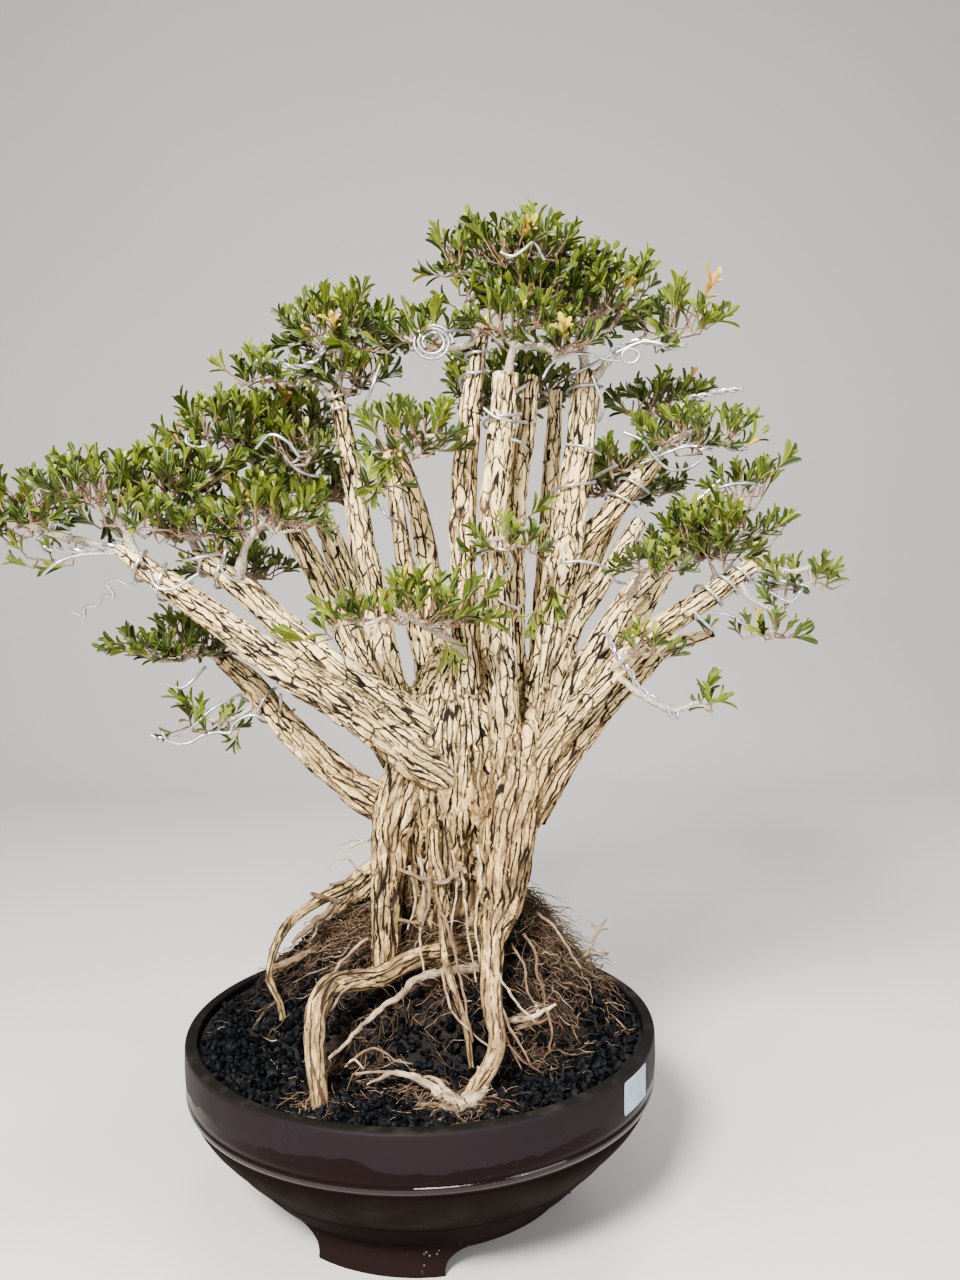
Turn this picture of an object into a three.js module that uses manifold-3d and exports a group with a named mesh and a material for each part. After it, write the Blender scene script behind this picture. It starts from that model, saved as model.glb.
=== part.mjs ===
// A broom-style boxwood bonsai in its round glazed pot.
// Millimetres, +Z up; the origin is on the table under the middle of the pot,
// -Y is the front of the tree.
import * as THREE from 'three'
import { mergeVertices } from 'three/addons/utils/BufferGeometryUtils.js'
import Module from 'manifold-3d'

const wasm = await Module()
wasm.setup()

// Driving dimensions of the pot
const rimRadius = 192.5
const lipRadius = 182.5
const potHeight = 147
const bandFoot = 102.5
const ridgeRadius = 160.5
const ridgeHeight = 61
const footRadius = 122
const footWidth = 24
const footHeight = 26
const floorTop = 34
const drainRadius = 14
const notchAngles = [46, 166, 286]
const notchSpread = 73
const notchHeight = 20
const notchShoulder = 18
const potSides = 32

// Driving dimensions of the label, soil, wood, leaves and wires
const gap = 0.35
const labelAngle = 58.5
const labelWidth = 38
const labelHeight = 25
const labelTop = 143
const labelThick = 0.8
const soilLevel = 141
const moundHeight = 98
const grainRelief = 2.2
const bladeLength = 19
const bladeWidth = 8
const bladeThick = 1.1
const bladesInTuft = 4
const twigRadius = 1.3
const wireRadius = 1.35
const leafClearance = 0.5

// Stems of the tree, each a run of [x, y, z, radius] from the trunk outwards
const stems = {
  lowLeft: [[0, 0, 318, 20], [-38, -4, 331, 16.4], [-73, 0, 357, 14], [-112, 15, 393, 11.7],
    [-143, 30, 425, 10.2], [-169, 40, 446, 7.7]],
  longLeft: [[38, -18, 345, 17], [-4, -35, 372, 15.8], [-51, -50, 413, 15.5], [-102, -60, 449, 13.7],
    [-153, -65, 488, 12.1], [-196, -65, 520, 9.1], [-222, -61, 540, 6.1]],
  upperLeft: [[32, -10, 372, 16], [-11, -25, 405, 15.2], [-62, -35, 443, 13.4], [-101, -40, 477, 11.7],
    [-140, -40, 513, 10.1], [-171, -38, 533, 7]],
  leanLeft: [[-10, 5, 372, 14], [-39, 15, 419, 12.5], [-61, 20, 469, 11.7], [-86, 30, 520, 10.9],
    [-107, 35, 558, 10.1], [-126, 40, 586, 7.6]],
  backLean: [[-10, 25, 396, 11], [-37, 30, 452, 10.1], [-59, 45, 511, 9.4], [-83, 60, 567, 8.7],
    [-103, 70, 607, 6.1]],
  tallLeft: [[-8, -2, 384, 14], [-26, 0, 446, 13.1], [-35, 0, 501, 12.2], [-45, 5, 552, 10.6],
    [-52, 8, 601, 9.4], [-59, 10, 642, 8.2], [-63, 10, 667, 6.5]],
  backMid: [[12, 36, 392, 10], [0, 50, 458, 9.5], [-11, 60, 519, 8.7], [-20, 70, 580, 7.4],
    [-27, 75, 619, 5.3]],
  midLeft: [[26, 12, 380, 11], [18, 20, 443, 10], [9, 20, 527, 9.1], [-3, 22, 585, 8.3],
    [-15, 22, 618, 7.4], [-22, 20, 642, 4.9]],
  centre: [[44, -10, 350, 14], [43, -15, 414, 12.9], [39, -20, 495, 12], [40, -20, 558, 11.1],
    [44, -15, 621, 9.9], [51, -10, 677, 8], [61, -8, 720, 4]],
  cutTop: [[70, -20, 350, 14], [71, -30, 415, 12.7], [66, -35, 495, 12.5], [64, -35, 557, 12.5],
    [69, -32, 611, 12.1], [75, -30, 671, 10.6]],
  centreBack: [[78, 0, 360, 12], [80, 5, 427, 9.9], [81, 0, 510, 9.8], [83, 0, 574, 8.9],
    [92, 5, 631, 8.1], [97, 10, 676, 5.7]],
  shadeBack: [[86, 34, 360, 10], [99, 50, 423, 8.6], [109, 55, 526, 8.2], [116, 60, 612, 7.8],
    [120, 65, 672, 6]],
  tallRight: [[92, -2, 350, 15], [100, -5, 412, 13.9], [114, -5, 493, 14.6], [126, 0, 559, 13.8],
    [134, 5, 615, 13], [139, 8, 655, 12.2], [141, 10, 679, 9.4]],
  cutRight: [[108, 4, 455, 11], [118, 10, 501, 10.7], [134, 12, 535, 10.7], [156, 15, 558, 10.3],
    [179, 18, 584, 9.9], [199, 20, 607, 8.6]],
  innerRight: [[98, -8, 355, 13], [108, -10, 404, 12.2], [118, -10, 445, 11.3], [129, -5, 477, 9.7],
    [151, 5, 506, 8.6], [170, 15, 533, 8.3], [187, 25, 558, 5.8]],
  longRight: [[98, -18, 352, 12], [115, -25, 396, 11.2], [130, -25, 430, 11.2], [150, -20, 461, 11.2],
    [173, -10, 493, 10.5], [199, 0, 520, 9.8], [221, 10, 549, 8.2], [236, 15, 576, 5.8]],
  farRight: [[92, -20, 338, 12], [109, -30, 380, 11.1], [143, -40, 423, 11], [176, -45, 459, 10.5],
    [211, -45, 484, 9.7], [243, -40, 504, 8.6], [269, -35, 521, 6.3]],
  lowRight: [[92, -14, 318, 13], [105, -20, 341, 12.1], [119, -20, 364, 11.3], [151, -15, 404, 9.7],
    [181, -10, 434, 8.9], [202, -5, 453, 7.3], [224, 0, 459, 5.7], [244, 5, 463, 4.1]],
  rearLeft: [[0, 30, 350, 13], [-22, 55, 405, 11.5], [-50, 85, 465, 10.4], [-78, 112, 525, 9.2],
    [-98, 128, 575, 7]],
  rearMid: [[45, 40, 350, 13], [54, 62, 420, 11.5], [62, 88, 495, 10.6], [70, 108, 570, 9.4],
    [80, 120, 640, 6.8]],
  rearRight: [[78, 30, 350, 13], [102, 55, 410, 11.5], [128, 82, 470, 10.2], [156, 106, 528, 9],
    [182, 122, 575, 6.8]],
  rearLowLeft: [[-5, 28, 330, 14], [-40, 50, 380, 11.8], [-82, 70, 425, 10.2], [-122, 85, 470, 9],
    [-150, 92, 505, 6.6]],
  rearLowRight: [[80, 20, 330, 14], [120, 45, 385, 11.8], [158, 66, 432, 10], [196, 84, 478, 8.8],
    [222, 94, 512, 6.4]],
}

// The trunk and its two columns of fused stems
const trunk = {
  core: [[34, 10, 455, 18], [33, 12, 425, 38], [31, 14, 385, 52], [29, 17, 340, 56], [28, 20, 300, 50],
    [26, 24, 262, 44], [24, 28, 225, 44], [22, 32, 185, 46]],
  columnLeft: [[8, -8, 385, 18], [-6, -15, 357, 21], [-19, -22, 318, 17], [-25, -28, 271, 14.6],
    [-27, -32, 231, 12.8], [-28, -34, 190, 12]],
  columnRight: [[84, -8, 395, 20], [83, -15, 356, 24], [74, -22, 317, 24.2], [68, -30, 278, 22.4],
    [66, -38, 252, 18], [59, -55, 230, 11], [57, -75, 209, 8.4], [58, -95, 190, 7.6],
    [61, -115, 172, 7.2], [53, -128, 158, 6.8], [41, -139, 146, 5.9], [31, -143, 126, 5]],
}

// Roots, from the trunk outwards and down into the soil
const roots = {
  frontLeft: [[46, -12, 214, 10], [26, -28, 213, 9.7], [9, -40, 213, 9.2], [-10, -55, 212, 8.6],
    [-29, -72, 208, 8.4], [-49, -88, 211, 7.9], [-61, -99, 212, 8.5], [-69, -112, 203, 8.8],
    [-71, -125, 182, 8.3], [-69, -133, 163, 7.5], [-66, -139, 145, 6.6], [-64, -142, 130, 6]],
  archLeft: [[-8, 8, 280, 10], [-40, 6, 271, 8.3], [-61, 10, 255, 6.2], [-83, 12, 244, 5.2],
    [-102, 10, 233, 5.2], [-115, 2, 220, 5], [-122, -10, 204, 4], [-123, -22, 188, 3.6],
    [-112, -34, 172, 3.4], [-106, -44, 130, 3]],
  hanging: [[16, -22, 322, 6], [13, -36, 300, 4.4], [20, -46, 271, 3.8], [19, -52, 247, 3.6],
    [22, -60, 216, 3.6], [30, -74, 194, 3.6], [38, -84, 172, 3.2], [43, -92, 126, 2.8]],
  rearLeft: [[-6, 45, 285, 18], [-38, 72, 246, 13], [-68, 92, 214, 10], [-94, 104, 180, 8],
    [-108, 110, 140, 6]],
  rearMid: [[30, 60, 280, 18], [34, 92, 240, 12], [30, 118, 206, 9], [22, 136, 170, 7],
    [20, 144, 130, 5]],
  rearRight: [[60, 48, 272, 18], [74, 76, 226, 12.5], [86, 98, 190, 9.5], [96, 112, 156, 7.5],
    [102, 118, 128, 5.5]],
}

// Sprays of foliage: the pad's centre and half sizes, the branches that carry it
// from inside the wood outwards as [x, y, z, radius], and how many tufts it has
const sprays = {
  farLeftTip: { centre: [-288, -62, 571], half: [26, 34, 32], tufts: 2,
    branch: [[-214, -62, 534, 3.6], [-238, -62, 541, 3], [-280, -62, 553, 2.4], [-314, -60, 568, 1.5]] },
  farLeft: { centre: [-236, -66, 591], half: [34, 44, 28], tufts: 2,
    branch: [[-206, -64, 528, 4], [-218, -68, 559, 3], [-244, -68, 574, 1.6]] },
  leftTop: { centre: [-183, -42, 598], half: [35, 46, 28], tufts: 2,
    branch: [[-165, -38, 529, 4], [-179, -42, 564, 3], [-193, -45, 580, 1.6]] },
  leftInner: { centre: [-117, -66, 566], half: [32, 34, 24], tufts: 2,
    branch: [[-136, -42, 509, 4], [-122, -62, 543, 3], [-102, -66, 562, 1.6]] },
  leftCrown: { centre: [-150, 12, 641], half: [44, 50, 34], tufts: 3,
    branch: [[-122, 39, 580, 4], [-135, 27, 612, 3], [-158, 15, 629, 1.6]] },
  leftCrownBack: { centre: [-104, 62, 652], half: [34, 44, 34], tufts: 2,
    branch: [[-101, 69, 602, 4], [-104, 60, 628, 3], [-114, 60, 644, 1.6]] },
  leftPeak: { centre: [-60, 6, 719], half: [42, 50, 32], tufts: 3,
    branch: [[-62, 10, 660, 4], [-59, 8, 689, 3], [-54, 5, 709, 1.6]] },
  leftPeakLow: { centre: [-114, -2, 684], half: [30, 30, 16], tufts: 2,
    branch: [[-61, 10, 652, 3.4], [-84, 6, 676, 2.8], [-120, -2, 680, 1.6]] },
  midLeftTop: { centre: [8, -10, 712], half: [28, 36, 26], tufts: 2,
    branch: [[56, -9, 700, 3.6], [35, -12, 694, 2.8], [11, -12, 696, 2.4], [-6, -10, 704, 1.5]] },
  topSprig: { centre: [36, -12, 767], half: [15, 22, 30], tufts: 2,
    branch: [[60, -8, 716, 3], [49, -10, 736, 2.4], [38, -11, 758, 1.5]] },
  crown: { centre: [86, 0, 776], half: [50, 60, 30], tufts: 4,
    branch: [[61, -7, 718, 3.4], [75, -2, 738, 2.8], [88, 0, 757, 1.6]] },
  crownFront: { centre: [79, -44, 716], half: [38, 26, 24], tufts: 2,
    branch: [[76, -31, 669, 4], [80, -40, 689, 3], [86, -46, 704, 1.6]] },
  rightPeak: { centre: [146, 10, 736], half: [42, 50, 36], tufts: 3,
    branch: [[141, 10, 676, 4.4], [138, 8, 703, 3.2], [146, 6, 723, 1.7]] },
  rightPeakTip: { centre: [210, -4, 722], half: [34, 36, 24], tufts: 2,
    branch: [[140, 8, 664, 3.6], [168, 0, 694, 2.8], [206, -4, 706, 1.6]] },
  midFront: { centre: [4, -48, 628], half: [36, 30, 30], tufts: 2,
    branch: [[-13, 20, 616, 4], [-6, -14, 620, 3], [6, -44, 622, 1.7]] },
  frontShelf: { centre: [-8, -84, 495], half: [54, 24, 18], tufts: 2,
    branch: [[42, -16, 446, 3.6], [30, -46, 464, 3], [6, -70, 480, 2.6], [-12, -84, 490, 1.6]] },
  frontRight: { centre: [72, -76, 546], half: [30, 20, 18], tufts: 2,
    branch: [[46, -24, 540, 3], [51, -52, 540, 2.4], [72, -76, 542, 1.6]] },
  rightHigh: { centre: [230, 14, 634], half: [48, 44, 28], tufts: 2,
    branch: [[196, 20, 603, 4], [211, 18, 622, 3], [238, 16, 632, 1.6]] },
  rightHighBack: { centre: [206, 72, 668], half: [34, 34, 24], tufts: 2,
    branch: [[191, 22, 598, 3.6], [200, 48, 634, 2.8], [208, 68, 656, 1.6]] },
  rightMid: { centre: [247, -16, 556], half: [46, 40, 24], tufts: 2,
    branch: [[226, 12, 558, 4], [243, 0, 553, 3], [252, -17, 550, 1.6]] },
  rightMidLeft: { centre: [186, -50, 530], half: [26, 24, 20], tufts: 2,
    branch: [[171, -11, 491, 3.4], [178, -36, 512, 2.6], [188, -50, 525, 1.6]] },
  rightTip: { centre: [305, -36, 517], half: [32, 26, 16], tufts: 2,
    branch: [[264, -36, 518, 3.6], [291, -37, 514, 2.8], [323, -36, 520, 1.5]] },
  rightLow: { centre: [274, -44, 482], half: [26, 22, 12], tufts: 2,
    branch: [[252, -39, 510, 2.8], [262, -43, 494, 2.2], [276, -45, 486, 1.5]] },
  rightBelow: { centre: [178, -68, 466], half: [22, 18, 18], tufts: 2,
    branch: [[150, -42, 430, 3], [160, -58, 448, 2.4], [174, -68, 462, 1.6]] },
  rightSprig: { centre: [229, -50, 424], half: [11, 12, 12], tufts: 1,
    branch: [[156, -42, 439, 3], [164, -56, 430, 2.6], [180, -56, 418, 2.4], [200, -52, 408, 2.2],
      [220, -50, 414, 1.5]] },
  lowLeftPad: { centre: [-204, 40, 464], half: [50, 40, 24], tufts: 2,
    branch: [[-162, 37, 440, 4], [-184, 39, 452, 3], [-210, 40, 460, 1.6]] },
  lowLeftSprig: { centre: [-181, 22, 402], half: [30, 20, 18], tufts: 2,
    branch: [[-139, 28, 421, 3.2], [-143, 24, 404, 2.6], [-166, 22, 394, 2.2], [-188, 22, 399, 1.5]] },
  rearLeftPad: { centre: [-106, 142, 606], half: [52, 44, 30], tufts: 3,
    branch: [[-95, 126, 568, 4.4], [-100, 134, 586, 3.4], [-112, 140, 598, 1.7]] },
  rearMidPad: { centre: [82, 112, 690], half: [56, 46, 34], tufts: 3,
    branch: [[79, 119, 634, 4.4], [80, 117, 660, 3.4], [84, 114, 680, 1.7]] },
  rearRightPad: { centre: [192, 138, 604], half: [48, 42, 28], tufts: 2,
    branch: [[178, 120, 568, 4.4], [184, 130, 586, 3.4], [194, 136, 598, 1.7]] },
  rearLowLeftPad: { centre: [-166, 104, 530], half: [42, 36, 22], tufts: 2,
    branch: [[-146, 91, 499, 4.2], [-152, 96, 512, 3.2], [-168, 104, 522, 1.6]] },
  rearLowRightPad: { centre: [236, 106, 540], half: [42, 36, 22], tufts: 2,
    branch: [[218, 93, 506, 4.2], [224, 98, 520, 3.2], [238, 106, 532, 1.6]] },
}

// Training wires: the stem or branch that carries each one, where its turns start
// and end along it, the number of turns, and the free tail that follows them
const wires = {
  farLeft: { on: 'longLeft', from: 0.74, to: 0.9, turns: 2,
    tail: [[-247, -72, 533], [-262, -78, 527], [-276, -74, 517]] },
  upperLeft: { on: 'upperLeft', from: 0.8, to: 0.97, turns: 2, tail: [[-166, -52, 556], [-150, -62, 550]] },
  lowLeft: { on: 'lowLeft', from: 0.62, to: 0.78, turns: 1.5,
    tail: [[-170, 8, 406], [-186, 4, 392], [-204, 8, 382], [-222, 10, 384]] },
  tallLeft: { on: 'tallLeft', from: 0.84, to: 0.97, turns: 2, tail: [[-82, -4, 684], [-98, -8, 692]] },
  centre: { on: 'centre', from: 0.78, to: 0.93, turns: 2.5, tail: [[36, -30, 704], [22, -38, 700]] },
  cutTop: { on: 'cutTop', from: 0.84, to: 0.92, turns: 1.25, tail: [[92, -46, 660]] },
  tallRight: { on: 'tallRight', from: 0.84, to: 0.96, turns: 1.5,
    tail: [[166, -14, 690], [184, -18, 696], [202, -22, 692]] },
  waist: { on: 'tallRight', from: 0.52, to: 0.6, turns: 1, tail: [[162, -16, 600]] },
  cutRight: { on: 'cutRight', from: 0.66, to: 0.9, turns: 2.5, tail: [[222, 0, 616], [240, -8, 612]] },
  longRight: { on: 'longRight', from: 0.74, to: 0.92, turns: 2.5, tail: [[250, 2, 590]] },
  farRight: { on: 'farRight', from: 0.72, to: 0.94, turns: 3, tail: [[292, -48, 506], [306, -50, 503]] },
}

// Seeded random numbers, so that the tree comes out the same each time
function seeded(seed) {
  let state = seed
  return () => {
    state = (state + 0x6d2b79f5) | 0
    let mixed = Math.imul(state ^ (state >>> 15), 1 | state)
    mixed = (mixed + Math.imul(mixed ^ (mixed >>> 7), 61 | mixed)) ^ mixed
    return ((mixed ^ (mixed >>> 14)) >>> 0) / 4294967296
  }
}

// Turn a closed geometry into a solid, and a solid back into a geometry
function toSolid(geometry) {
  const plain = geometry.clone()
  plain.deleteAttribute('normal')
  plain.deleteAttribute('uv')
  const merged = mergeVertices(plain, 1e-4)
  const position = merged.getAttribute('position')
  return new wasm.Manifold(new wasm.Mesh({
    numProp: 3,
    vertProperties: new Float32Array(position.array),
    triVerts: new Uint32Array(merged.index.array),
  }))
}

function toGeometry(solid) {
  const mesh = solid.getMesh()
  const geometry = new THREE.BufferGeometry()
  geometry.setAttribute('position', new THREE.BufferAttribute(new Float32Array(mesh.vertProperties), 3))
  geometry.setIndex(new THREE.BufferAttribute(new Uint32Array(mesh.triVerts), 1))
  geometry.computeVertexNormals()
  return geometry
}

// A join can leave crumbs beside the main body: only the main body is kept
function mainBody(solid) {
  const bodies = solid.decompose()
  let largest = bodies[0]
  for (const body of bodies) {
    if (body.volume() > largest.volume()) largest = body
  }
  return largest
}

function joinAll(solids) {
  return wasm.Manifold.union(solids)
}

// A curve through a run of [x, y, z, radius], with the radius read along it
function runCurve(run) {
  return new THREE.CatmullRomCurve3(run.map(([x, y, z]) => new THREE.Vector3(x, y, z)), false, 'centripetal')
}

function runRadius(run, t) {
  const place = t * (run.length - 1)
  const low = Math.min(Math.floor(place), run.length - 2)
  return THREE.MathUtils.lerp(run[low][3], run[low + 1][3], place - low)
}

// A tapered limb: a cylinder bent along its run, with the bark's long ribs raised
// by every second row of vertices
function limb(run, { sides, steps, rib = 0, grow = 0 }) {
  const curve = runCurve(run)
  const frames = curve.computeFrenetFrames(steps, false)
  const geometry = new THREE.CylinderGeometry(1, 1, 1, sides, steps)
  const position = geometry.getAttribute('position')
  const point = new THREE.Vector3()
  for (let i = 0; i < position.count; i++) {
    const step = Math.round((position.getY(i) + 0.5) * steps)
    const x = position.getX(i)
    const z = position.getZ(i)
    const t = step / steps
    const row = Math.round((Math.atan2(z, x) / (2 * Math.PI)) * sides + 2 * sides)
    const ridge = row % 2 === 0 ? 1 + rib : 1 - rib
    const radius = runRadius(run, t) * ridge + grow
    curve.getPoint(t, point)
    point.addScaledVector(frames.normals[step], x * radius)
    point.addScaledVector(frames.binormals[step], z * radius)
    if (step === 0) point.addScaledVector(frames.tangents[0], -grow)
    if (step === steps) point.addScaledVector(frames.tangents[steps], grow)
    position.setXYZ(i, point.x, point.y, point.z)
  }
  return facingOut(geometry)
}

// The bent cylinder keeps its faces outwards only in a right-handed frame
function facingOut(geometry) {
  const solid = toSolid(geometry)
  if (solid.volume() > 0) return solid
  const flipped = geometry.clone()
  const index = flipped.index.array
  for (let i = 0; i < index.length; i += 3) {
    const first = index[i]
    index[i] = index[i + 1]
    index[i + 1] = first
  }
  return toSolid(flipped)
}

function woodSolid(grow) {
  const limbs = []
  for (const run of Object.values(trunk)) {
    limbs.push(limb(run, { sides: 12, steps: run.length, rib: 0.05, grow }))
  }
  for (const run of Object.values(stems)) {
    limbs.push(limb(run, { sides: 8, steps: run.length - 1, rib: 0.06, grow }))
  }
  for (const run of Object.values(roots)) {
    limbs.push(limb(run, { sides: 6, steps: run.length, rib: 0.04, grow }))
  }
  return joinAll(limbs)
}

// Everything placed so far, as straight round-ended rods, so that what comes later
// can keep clear of it
const placed = []

function noteRun(owner, run, steps) {
  const curve = runCurve(run)
  let last = curve.getPoint(0)
  for (let i = 1; i <= steps; i++) {
    const next = curve.getPoint(i / steps)
    placed.push({ owner, from: last, to: next, radius: runRadius(run, (i - 0.5) / steps) * 1.07 })
    last = next
  }
}

// The shortest distance between two straight rods' centre lines
function rodDistance(a, b, c, d) {
  const u = b.clone().sub(a)
  const v = d.clone().sub(c)
  const w = a.clone().sub(c)
  const uu = u.dot(u)
  const uv = u.dot(v)
  const vv = v.dot(v)
  const uw = u.dot(w)
  const vw = v.dot(w)
  const spread = uu * vv - uv * uv
  let s = spread > 1e-9 ? THREE.MathUtils.clamp((uv * vw - vv * uw) / spread, 0, 1) : 0
  let t = vv > 1e-9 ? (uv * s + vw) / vv : 0
  if (t < 0 || t > 1) {
    t = THREE.MathUtils.clamp(t, 0, 1)
    s = uu > 1e-9 ? THREE.MathUtils.clamp((uv * t - uw) / uu, 0, 1) : 0
  }
  return a.clone().addScaledVector(u, s).distanceTo(c.clone().addScaledVector(v, t))
}

function isClear(owner, from, to, radius) {
  for (const rod of placed) {
    if (rod.owner === owner) continue
    const reach = radius + rod.radius + leafClearance
    if (rodDistance(from, to, rod.from, rod.to) < reach) return false
  }
  return true
}

// A tuft's blades: one thin plate cut to its neck into a ring of spoon-shaped
// blades, each then raised about its neck to its own slant
const bladeNeck = 2.4
function rosette(base, along, across, random) {
  const count = bladesInTuft
  const slants = []
  const outline = new THREE.Shape()
  for (let i = 0; i < count; i++) {
    const middle = (i / count) * 2 * Math.PI
    const length = bladeLength * (0.88 + 0.24 * random())
    const wide = length * 0.7
    const aside = Math.atan2(bladeWidth / 2, wide)
    const neck = middle - Math.PI / count
    slants.push(0.62 + 0.42 * random())
    if (i === 0) outline.moveTo(bladeNeck * Math.cos(neck), bladeNeck * Math.sin(neck))
    else outline.lineTo(bladeNeck * Math.cos(neck), bladeNeck * Math.sin(neck))
    outline.lineTo(wide * Math.cos(middle - aside), wide * Math.sin(middle - aside))
    outline.lineTo(length * Math.cos(middle), length * Math.sin(middle))
    outline.lineTo(wide * Math.cos(middle + aside), wide * Math.sin(middle + aside))
  }
  const plate = new THREE.ExtrudeGeometry(outline, { depth: bladeThick, bevelEnabled: false })
  const position = plate.getAttribute('position')
  for (let i = 0; i < position.count; i++) {
    const x = position.getX(i)
    const y = position.getY(i)
    const reach = Math.hypot(x, y)
    const nearest = Math.round((Math.atan2(y, x) / (2 * Math.PI)) * count + count) % count
    const raised = Math.max(0, reach - bladeNeck - 0.01)
    const flat = (bladeNeck + raised * Math.cos(slants[nearest])) / (bladeNeck + raised)
    position.setXYZ(i, x * flat, y * flat, position.getZ(i) + raised * Math.sin(slants[nearest]))
  }
  const side = new THREE.Vector3().crossVectors(along, across).normalize()
  const front = new THREE.Vector3().crossVectors(side, along).normalize()
  plate.applyMatrix4(new THREE.Matrix4().makeBasis(front, side, along).setPosition(base))
  return facingOut(plate)
}

// A tuft: its blades round the end of a branch, or of a short straight twig of its own
function tuft(owner, from, to, withTwig, random, solids) {
  const along = to.clone().sub(from).normalize()
  const run = [[...from.toArray(), twigRadius * 1.15], [...to.toArray(), twigRadius * 0.9]]
  if (withTwig) solids.push(limb(run, { sides: 3, steps: 1 }))
  const across = new THREE.Vector3(along.y, -along.x, 0.2).normalize()
  across.applyAxisAngle(along, random() * Math.PI)
  solids.push(rosette(to.clone().addScaledVector(along, -bladeThick / 2), along, across, random))
  placed.push({ owner, from, to, radius: twigRadius * 1.2 })
  const crown = to.clone().addScaledVector(along, bladeLength * 0.6)
  placed.push({ owner, from: to, to: crown, radius: tuftRadius })
}

// A spray: its branch, and tufts spread evenly over the pad by the golden angle,
// each twig leaving the nearest lower point of the branch
const goldenAngle = Math.PI * (3 - Math.sqrt(5))
const tuftRadius = bladeLength * 0.85
const tuftSpacing = bladeLength * 1.7
function spraySolid(name, { centre, half, branch, tufts }, seed) {
  const random = seeded(seed)
  const solids = [limb(branch, { sides: 4, steps: branch.length })]
  noteRun(name, branch, 6)
  const curve = runCurve(branch)
  const anchors = [0.55, 0.7, 0.85, 0.98].map((t) => curve.getPoint(t))
  const branchEnd = curve.getPoint(1)
  tuft(name, curve.getPoint(0.9), branchEnd, false, random, solids)
  const tips = [branchEnd]
  for (let i = 0; tips.length <= tufts && i < tufts * 6; i++) {
    const ring = Math.sqrt(((i % tufts) + 0.6) / tufts) * 0.8
    const angle = i * goldenAngle + seed
    const lift = (1 - ring * ring) * 0.7 - 0.25 + 0.3 * (random() - 0.5)
    const tip = new THREE.Vector3(
      centre[0] + half[0] * ring * Math.cos(angle),
      centre[1] + half[1] * ring * Math.sin(angle),
      centre[2] + half[2] * lift - 6,
    )
    let anchor = anchors[0]
    for (const other of anchors) {
      const nearer = other.distanceTo(tip) < anchor.distanceTo(tip)
      if (nearer) anchor = other
    }
    const away = tip.clone().sub(anchor).normalize()
    if (tips.some((other) => other.distanceTo(tip) < tuftSpacing)) continue
    const bare = anchor.clone().addScaledVector(away, twigRadius * 2)
    const crown = tip.clone().addScaledVector(away, bladeLength * 0.5)
    if (!isClear(name, bare, tip, twigRadius * 1.2) || !isClear(name, tip, crown, tuftRadius)) continue
    tuft(name, anchor, tip, true, random, solids)
    tips.push(tip)
  }
  return joinAll(solids)
}

const chordAllowance = 1.08

// A wire: turns round its carrier at a wire's width off the bark, then a free tail
function wireSolid(name, { on, from, to, turns, tail }, grow) {
  const run = stems[on]
  const curve = runCurve(run)
  const perTurn = 6
  const count = Math.ceil(turns * perTurn)
  const start = new THREE.Vector3(0, -1, 0)
  const points = []
  for (let i = 0; i <= count; i++) {
    const t = from + ((to - from) * i) / count
    const centre = curve.getPoint(t)
    const along = curve.getTangent(t)
    const out = start.clone().addScaledVector(along, -start.dot(along)).normalize()
    const angle = (i / perTurn) * 2 * Math.PI + 2.2
    out.applyAxisAngle(along, angle)
    const radius = (runRadius(run, t) * 1.06 + wireRadius + gap) * chordAllowance
    points.push(centre.addScaledVector(out, radius))
  }
  for (const [x, y, z] of tail) points.push(new THREE.Vector3(x, y, z))
  const path = new THREE.CatmullRomCurve3(points, false, 'centripetal')
  const radius = wireRadius + grow
  const section = new THREE.Shape()
  const corners = 4
  for (let i = 0; i < corners; i++) {
    const angle = (i / corners) * 2 * Math.PI
    if (i === 0) section.moveTo(radius, 0)
    else section.lineTo(radius * Math.cos(angle), radius * Math.sin(angle))
  }
  const steps = Math.ceil(path.getLength() / (runRadius(run, from) * 1.25))
  if (grow === 0) {
    const owner = 'wire ' + name
    for (let i = 0; i < steps; i++) {
      placed.push({ owner, from: path.getPoint(i / steps), to: path.getPoint((i + 1) / steps), radius })
    }
  }
  const options = { steps, bevelEnabled: false, extrudePath: path }
  return facingOut(new THREE.ExtrudeGeometry(section, options))
}

// The pot: a turned body on a foot ring that three broad notches cut into feet
function potSolid() {
  const outline = [
    [lipRadius, potHeight], [rimRadius - 3, potHeight], [rimRadius - 0.8, potHeight - 1.2],
    [rimRadius, potHeight - 3.5], [rimRadius, bandFoot + 3.5], [rimRadius - 1.2, bandFoot],
    [188.5, bandFoot - 3], [186.8, 93], [181.5, 85], [174.5, 76.5], [ridgeRadius + 5, 67],
    [ridgeRadius, ridgeHeight], [ridgeRadius - 3.5, ridgeHeight - 3.5], [147, 46], [137.5, 35.5],
    [footRadius + 6.5, footHeight + 2.5], [footRadius + 1, footHeight], [footRadius, 12],
    [footRadius + 1.5, 0], [footRadius - footWidth, 0], [footRadius - footWidth, footHeight],
    [drainRadius, footHeight], [drainRadius, floorTop], [116, floorTop],
    [146, 58], [183, 106], [183, 140],
  ]
  const profile = outline.map(([radius, height]) => new THREE.Vector2(radius, height))
  profile.push(profile[0].clone())
  const turned = new THREE.LatheGeometry(profile, potSides)
  turned.rotateX(Math.PI / 2)
  let pot = facingOut(turned)
  for (const angle of notchAngles) pot = pot.subtract(notchSolid(angle))
  return pot
}

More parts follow.
